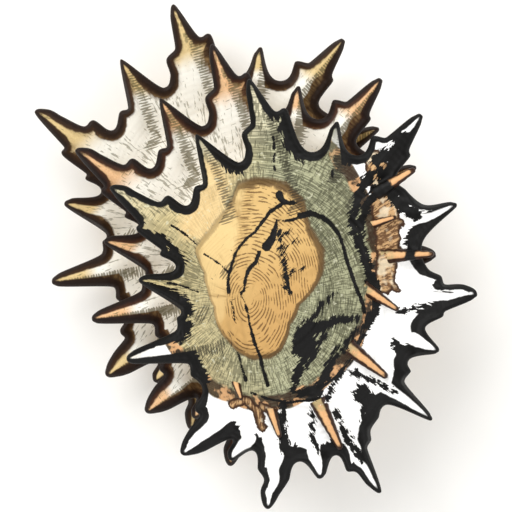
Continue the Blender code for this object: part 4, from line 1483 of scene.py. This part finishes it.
def flank_colour(f, at, shaded):
    """Grey-green shell with strokes that run out from the beak in some places and round it in others; painted
    shade darkens its right, and pale glints are painted highlights.
    """
    beak = plan_place(FRILL_THIRD, BEAK)
    eastern = (at["x"] + (at["cloud"] - 0.5) * 18.0).ramp(-22.0, 12.0)
    flank = f.mix(eastern, paint(206, 190, 142), paint(176, 176, 142))
    pale = (at["y"] - at["x"] * 0.6 + (at["cloud"] - 0.5) * 14.0).ramp(24.0, 46.0)
    flank = f.mix(pale, flank, paint(226, 218, 186))
    cream_spot = (*plan_place(FRILL_THIRD, from_photo([CREAM_AT[0]], CREAM_AT[1])[0]), 0.0)
    flat = f.vector("MULTIPLY", f.vector("SUBTRACT", f.place, cream_spot), (1.35, 0.8, 0.0))
    cream = (f.vector("LENGTH", flat) + (at["cloud"] - 0.5) * 16.0).ramp(14.0, 7.0)
    flank = f.mix(cream, flank, paint(228, 200, 146))
    patch = f.noise(f.place, 0.075, 2.0)
    # Painted shade: the flank darkens towards the right.
    right_shade = (at["x"] + (at["cloud"] - 0.5) * 10.0).ramp(10.0, 22.0)
    flank = f.mix(right_shade * 0.4, flank, paint(146, 146, 114))
    # The dark strokes along the rays grow a little denser as painted shade, on the side turned from the light
    # and to the right.
    out = at["rays"] + (patch - 0.5) * 0.5 + shaded * 0.05 + right_shade * 0.05
    bare = 1.0 - cream * 0.75
    flank = f.mix(out.ramp(0.5, 0.6) * 0.7 * bare, flank, paint(80, 78, 56))
    round_it = f.rays(beak, 46.0, 0.3, 4.0) - (patch - 0.5) * 0.6
    flank = f.mix(round_it.ramp(0.48, 0.58) * (0.3 + eastern * 0.4) * bare, flank, paint(64, 64, 46))
    # Pale streaks along the rays are painted highlights.
    glints = f.rays(beak, 120.0, 1.3, 8.0)
    return f.mix(glints.ramp(0.62, 0.68) * 0.5, flank, paint(222, 220, 190))


def disc_colour(f, at, ragged):
    """A smooth pale lobe, and a tan one with growth lines round the knob; brown furrows and a hatched column
    along the fold between them are painted shade.
    """
    fold = at["x"] - at["y"] * 0.175 + 5.7 + (at["cloud"] - 0.5) * 3.0
    lined = (fold.ramp(-0.6, 1.2) + (at["y"] * -1.0 - 18.0).ramp(0.0, 4.0)).clamped()
    phase = f.measure("grown") * (2 * math.pi / LINE_STEP) + (at["grain"] - 0.5) * 2.4 + ragged
    broken = f.noise(f.place, 0.35, 2.0).ramp(0.35, 0.6)
    lines = (phase.sine() + (broken - 0.75) * 1.2).ramp(0.35, 0.95)
    warm = (at["x"] * 0.5 - at["y"] * 0.8 + (at["cloud"] - 0.5) * 20.0).ramp(-10.0, 26.0)
    disc = f.mix(lined * 0.7 + warm * 0.3, paint(226, 196, 136), paint(204, 166, 102))
    disc = f.mix(warm * 0.6, disc, paint(190, 144, 86))
    disc = f.mix(lines * (0.06 + lined * 0.72), disc, paint(92, 62, 30))
    shadow = (abs(fold - 1.6) * -1.0 + 1.9).ramp(0.0, 1.2) * (at["y"] - 2.0).ramp(0.0, 6.0)
    column = (at["y"] * (2 * math.pi / 0.8) + ragged * 3.0).sine().ramp(-0.2, 0.5)
    disc = f.mix(shadow * column * 0.55, disc, paint(112, 82, 44))
    knob = plan_place(FRILL_THIRD, from_photo([DISC_KNOB], DISC_AT)[0])
    # Soft brown streaks of painted shade, as in furrows that run out from the knob.
    furrow_shade = f.rays(knob, 26.0, 11.0, 2.0) * 0.75 + f.rays(knob, 150.0, 7.0, 5.0) * 0.25
    disc = f.mix(furrow_shade.ramp(0.5, 0.68) * (0.75 - lined * 0.5), disc, paint(150, 116, 66))
    return disc, lines


def older_shell(f, at, ragged, shaded):
    """The disc and the flank with brown painted shade along the disc's edge, stronger on the right, and the
    mask of the growth lines.
    """
    ring = f.measure("ring")
    disc, lines = disc_colour(f, at, ragged)
    in_disc = (ring + (at["grain"] - 0.5) * 0.03).ramp(1.012, 0.985)
    shell = f.mix(in_disc, flank_colour(f, at, shaded), disc)
    # Brown painted shade along the disc's raised edge, stronger on the right.
    disc_edge_shade = (0.07 - abs(ring - 0.985 + ragged * 0.03)).ramp(0.0, 0.05)
    disc_edge_shade = disc_edge_shade * (at["rays"] - 0.5 + disc_edge_shade * 0.35).ramp(0.0, 0.2)
    disc_edge_shade = disc_edge_shade * (0.45 + (at["x"] + 12.0).ramp(0.0, 14.0) * 0.45)
    return f.mix(disc_edge_shade, shell, paint(88, 64, 34)), lines * in_disc


def newer_shell(f, at, ragged, shell):
    """White shell beyond the last ledge, with brown patches left on it, and the mask of the white."""
    older = f.measure("older")
    south_east = (at["x"] * 0.7 - at["y"] * 0.7).ramp(-14.0, 4.0)
    margin = (abs(older - 0.955) * -1.0 + 0.07 + ragged * 0.04).ramp(0.0, 0.03) * south_east
    brown = f.mix(f.noise(f.place, 0.28, 3.0).ramp(0.52, 0.62), paint(52, 30, 16), paint(208, 158, 110))
    shell = f.mix(margin * 0.9, shell, brown)
    newer = (older + ragged * 0.012).ramp(0.995, 1.01) * south_east
    shell = f.mix(newer, shell, paint(254, 253, 250))
    shown = f.measure("brown") * -1.0 + (at["grain"] - 0.5) * 0.9
    tan = f.mix((at["rays"] + at["grain"] * 0.4).ramp(0.62, 0.76), paint(204, 164, 116), paint(110, 78, 50))
    tan = f.mix(f.noise(f.place, 0.2, 2.0).ramp(0.5, 0.6) * 0.8, tan, paint(238, 220, 188))
    patches = f.mix(shown.ramp(1.3, 0.5), tan, paint(62, 38, 22))
    return f.mix(shown.ramp(0.0, 0.2), shell, patches), newer


def dome_finish():
    f = Finish("dome_finish")
    edge, band, lit, ragged, rim, shaded, stripe = frill_masks(f, 0.1, 0.0)
    beak = plan_place(FRILL_THIRD, BEAK)
    rays = f.rays(beak, 420.0, 2.6, 2.0)
    grain = f.noise(f.place, 2.4, 3.0, 0.65)
    at = {axis: f.node("ShaderNodeSeparateXYZ", {}, {0: f.place}, i) for i, axis in enumerate("xy")}
    at.update(rays=rays, grain=grain, cloud=f.noise(f.place, 0.09, 2.0))
    shell, lines = older_shell(f, at, ragged, shaded)
    top, newer = newer_shell(f, at, ragged, shell)
    # Dark strokes of painted shade on the side of each rib turned from the light, kept off the white flange.
    top = f.mix(shade_strokes(f, ragged, 0.0) * (0.7 - newer * 0.7), top, paint(40, 36, 28))
    # Black streaks of painted shade near the rim, on the side turned from the light.
    shade_near_rim = (band + 2.6 - edge).ramp(0.0, 2.6) * (lit * -1.0).ramp(-0.1, 0.5)
    shade_streaks = ((rib_noise(f, 3.5, 0.6) - 0.5) * 3.0 + shade_near_rim * 1.2 - 0.75).ramp(0.0, 0.12)
    top = f.mix(shade_streaks * (1.0 - stripe), top, paint(14, 12, 10))
    top = f.mix((f.measure("crack") * -1.0 + (grain - 0.5) * 0.9).ramp(-0.06, 0.06), top, BLACK)
    # Rough black patches of painted shade, broken along the rays, and low on the right along arcs round the
    # beak.
    low = (at["y"] * -1.0 - 4.0).ramp(0.0, 6.0) * at["x"].ramp(6.0, 10.0) * (1.0 - newer)
    arcs = f.rays(beak, 40.0, 0.45, 9.0)
    streaks = (rays + (arcs - rays) * low - 0.5) * 4.4 + (grain - 0.5) * 1.6
    top = f.mix((f.measure("shade_patch") * -1.0 + streaks).ramp(0.0, 0.15), top, BLACK)
    top = f.mix(rim, top, BLACK)
    colour = both_sides(f, top, rays, band * 0.7 - edge + ragged, paint(22, 14, 9))
    roughness = 0.62 + (grain - 0.5) * 0.3 - rim * 0.06
    return f.finish(colour, roughness, rays * 0.5 + grain * 0.5 - lines * 0.4, 0.2)


DOME_FINISH = dome_finish()
print("dome finish", len(DOME_FINISH.node_tree.nodes), "nodes")

# %% [markdown]
# ## Finishes of the inner thorns and the walls
#
# An inner thorn is warm along its back and brown down its sides, darker as painted shade on the side turned
# from the light. The wall is built of layers that can be seen lying along it, streaks of brown run down it,
# and painted shade darkens it where it is sunk.

# %% Thorn and wall finishes
def inner_thorn_finish():
    f = Finish("inner_thorn_finish")
    out, lit, off = (f.measure(n) for n in ("out", "lit", "off"))
    grain = f.noise(f.place, 2.2, 3.0, 0.6)
    ragged = (f.noise(f.place, 0.7, 2.0) - 0.5) * 0.5
    # Brown down the sides, wider as painted shade on the side turned from the light, and dark at the tip.
    sides = (off + ragged * 0.7 - lit * 0.4).ramp(0.2, 0.5)
    sides = (sides + (out + ragged * 0.3).ramp(0.86, 0.94)).clamped()
    # The back deepens to brown as painted shade away from the light, and at random with the grain.
    warm = f.mix((0.4 - lit + (grain - 0.5)).clamped(), paint(226, 176, 124), paint(176, 116, 70))
    warm = f.mix((out + ragged).ramp(0.3, 0.05) * 0.8, warm, paint(170, 158, 114))
    colour = f.mix(sides, warm, paint(50, 27, 13))
    # The black round them on the shell, dark rim and painted shade, also covers the upper thorn's foot and
    # the middle of the next.
    x, y = (f.node("ShaderNodeSeparateXYZ", {}, {0: f.place}, i) for i in range(2))
    upper = (y - 15.0).ramp(0.0, 2.0) * (0.5 - out + ragged * 0.3).ramp(0.0, 0.06)
    middle = (2.0 - abs(x - 46.0) + ragged * 3.0).ramp(0.0, 0.8) * (8.0 - abs(y)).ramp(0.0, 1.0)
    colour = f.mix((upper + middle).clamped(), colour, paint(8, 7, 6))
    return f.finish(colour, 0.5 - sides * 0.12 + (grain - 0.5) * 0.3, grain, 0.2)


STREAKS_FROM = (2.0, -2.0)  # where the wall's streaks would meet, in the second frill's plan


def wall_finish():
    """Layered shell: uneven growth layers lie along the wall, brown streaks run down it, and painted shade
    darkens it where it is sunk.
    """
    f = Finish("wall_finish")
    grain = f.noise(f.place, 1.6, 4.0, 0.6)
    cloud = f.noise(f.place, 0.07, 3.0)
    layers = f.noise(f.vector("MULTIPLY", f.place, (0.09, 0.09, 1.1)), 1.0, 3.0, 0.6)
    middle = plan_place(FRILL_SECOND, STREAKS_FROM)
    streaks = f.rays(middle, 90.0, 60.0, 3.0)
    fine = f.rays(middle, 330.0, 40.0, 7.0)
    # Painted shade: the wall is darker where it is sunk, between the ribs and in its layers.
    groove = (f.measure("bump") * -1.2 + (grain - 0.5) * 0.8).ramp(0.3, 1.2)
    colour = f.mix(cloud.ramp(0.35, 0.65), paint(234, 218, 178), paint(206, 172, 124))
    colour = f.mix((streaks + (cloud - 0.5) * 0.6).ramp(0.5, 0.66) * 0.6, colour, paint(150, 96, 58))
    colour = f.mix(layers.ramp(0.5, 0.66) * 0.55, colour, paint(112, 84, 54))
    colour = f.mix(groove * 0.45, colour, paint(92, 66, 42))
    colour = f.mix(fine.ramp(0.54, 0.64) * 0.5, colour, HATCH)
    return f.finish(colour, 0.6 + (grain - 0.5) * 0.3, layers * 0.8 + fine * 0.4 + grain * 0.4, 0.4)


WALL_FINISH = wall_finish()
THORN_FINISH = inner_thorn_finish()

# %% [markdown]
# ## Scales on the wall and teeth at the seam
#
# The scales stand on every second rib of the cup's wall, in uneven rows that climb towards the seam, and
# they point out and up. The teeth sit all round the seam, where the margin of the real shell is scalloped.

# %% Wall scales and seam teeth
SCALE_ROWS = (5.5, 9.5, 14.0, 18.5, 30.0)
SCALE_SIZES = (2.6, 5.2)
SCALE_SUNK = 0.3
SEAM_TEETH = 92
TOOTH_SIZES = (2.0, 2.6)
TOOTH_SUNK = 0.1
TOOTH_DROP = 0.75


def wall_radius(height):
    rows = np.array(CUP_WALL)[::-1]
    return np.interp(height, rows[:, 1], rows[:, 0])


def hook_finish():
    f = Finish("scale_finish")
    tip = f.measure("tip")
    grain = f.noise(f.place, 2.4, 3.0, 0.6)
    colour = f.mix((tip + (grain - 0.5) * 0.5).ramp(0.3, 1.0), paint(212, 182, 134), paint(96, 60, 36))
    colour = f.mix(grain.ramp(0.55, 0.7) * 0.5, colour, paint(138, 104, 68))
    return f.finish(colour, 0.55 + (grain - 0.5) * 0.3, grain, 0.2)


HOOK_FINISH = hook_finish()


def on_wall(centre, turn, radius):
    """A place on the oval round a centre, and which way the wall faces there."""
    x, y = math.cos(turn), math.sin(turn)
    return centre + radius * np.array([x, y * LONG_OVER_WIDE]), (x * LONG_OVER_WIDE, y)


def wall_scales():
    places, aims = [], []
    for k in range(0, WALL_RIBS, 2):
        for row, height in enumerate(SCALE_ROWS):
            turn = 2 * math.pi * (k + row % 2) / WALL_RIBS + 0.03 * noise.noise(Vector((k, height, 2.0)))
            z = height + 1.2 * noise.noise(Vector((k * 1.7, height, 5.0)))
            spot, facing = on_wall(wall_centre(z)[0], turn, wall_radius(z) - SCALE_SUNK)
            places.append((*spot, z))
            aims.append((*facing, 0.45))
    return set_hooks("wall_scales", places, aims, *SCALE_SIZES, 4, HOOK_FINISH)


def seam_teeth():
    places, aims = [], []
    for k in range(SEAM_TEETH):
        spot, facing = on_wall(SEAM_CENTRE, 2 * math.pi * k / SEAM_TEETH, CUP_WALL[0][0] - TOOTH_SUNK)
        places.append((*spot, SEAM_LEVEL - TOOTH_DROP))
        aims.append((*facing, 0.0))
    return set_hooks("seam_teeth", places, aims, *TOOTH_SIZES, 9, HOOK_FINISH)


HOOKED = (wall_scales(), seam_teeth())

# %% [markdown]
# ## Which valve each piece belongs to
#
# Every piece gets its finish, and the solid of its valve is hidden. A shell that is shut moves as one body,
# so all of them ride on the root.

# %% Ride, replace and slot
LOWER = {first_frill: FIRST_FINISH, second_frill: SECOND_FINISH, cup_wall: WALL_FINISH}
UPPER = {third_frill: DOME_FINISH, inner_thorns: THORN_FINISH, collar: WALL_FINISH}
for group in (LOWER, UPPER):
    for piece, finish in group.items():
        piece.data.materials.append(finish)
for pieces, node in (((*LOWER, *HOOKED), "lower_valve"), (tuple(UPPER), "upper_valve")):
    for piece in pieces:
        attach(piece, "root")
        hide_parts(node)

# %% [markdown]
# ## Floor, light and camera
#
# The shell lies on a white floor and is seen from straight above, from far away, so that its near and far
# parts keep nearly the same scale. One light from the upper left shows the relief, and a fill softens it.

# %% Stage
FLOOR_HALF = 3.0


def add_floor():
    mesh = bpy.data.meshes.new("floor")
    corners = [(x * FLOOR_HALF, y * FLOOR_HALF, 0.0) for x, y in ((-1, -1), (1, -1), (1, 1), (-1, 1))]
    mesh.from_pydata(corners, [], [(0, 1, 2, 3)])
    floor = bpy.data.objects.new("floor", mesh)
    bpy.context.scene.collection.objects.link(floor)
    finish = bpy.data.materials.new("floor_finish")
    finish.use_nodes = True
    shader = finish.node_tree.nodes["Principled BSDF"]
    shader.inputs["Base Color"].default_value = paint(246, 245, 242)
    shader.inputs["Roughness"].default_value = 0.9
    mesh.materials.append(finish)


def add_light(name, place, size, power):
    light = bpy.data.lights.new(name, "AREA")
    light.size = size
    light.energy = power
    lamp = bpy.data.objects.new(name, light)
    lamp.location = place
    lamp.rotation_euler = (-Vector(place)).to_track_quat("-Z", "Y").to_euler()
    bpy.context.scene.collection.objects.link(lamp)


def add_camera():
    lens = bpy.data.cameras.new("camera")
    camera = bpy.data.objects.new("camera", lens)
    camera.location = (VIEW_AXIS[0] * MM, VIEW_AXIS[1] * MM, (VIEW_LEVEL + VIEW_FAR) * MM)
    lens.lens = lens.sensor_width * VIEW_FAR / (PIXEL * 2 * PHOTO_MIDDLE)
    bpy.context.scene.collection.objects.link(camera)
    bpy.context.scene.camera = camera


add_floor()
add_light("key", (-0.35, 0.45, 0.75), size=0.6, power=5.6)
add_light("fill", (0.6, -0.4, 0.7), size=0.8, power=3.6)
add_camera()
world = bpy.data.worlds.new("studio")
world.use_nodes = True
sky = world.node_tree.nodes["Background"]
sky.inputs["Color"].default_value = (1.0, 1.0, 1.0, 1.0)
sky.inputs["Strength"].default_value = 0.72
bpy.context.scene.world = world
bpy.context.scene.view_settings.view_transform = "Standard"
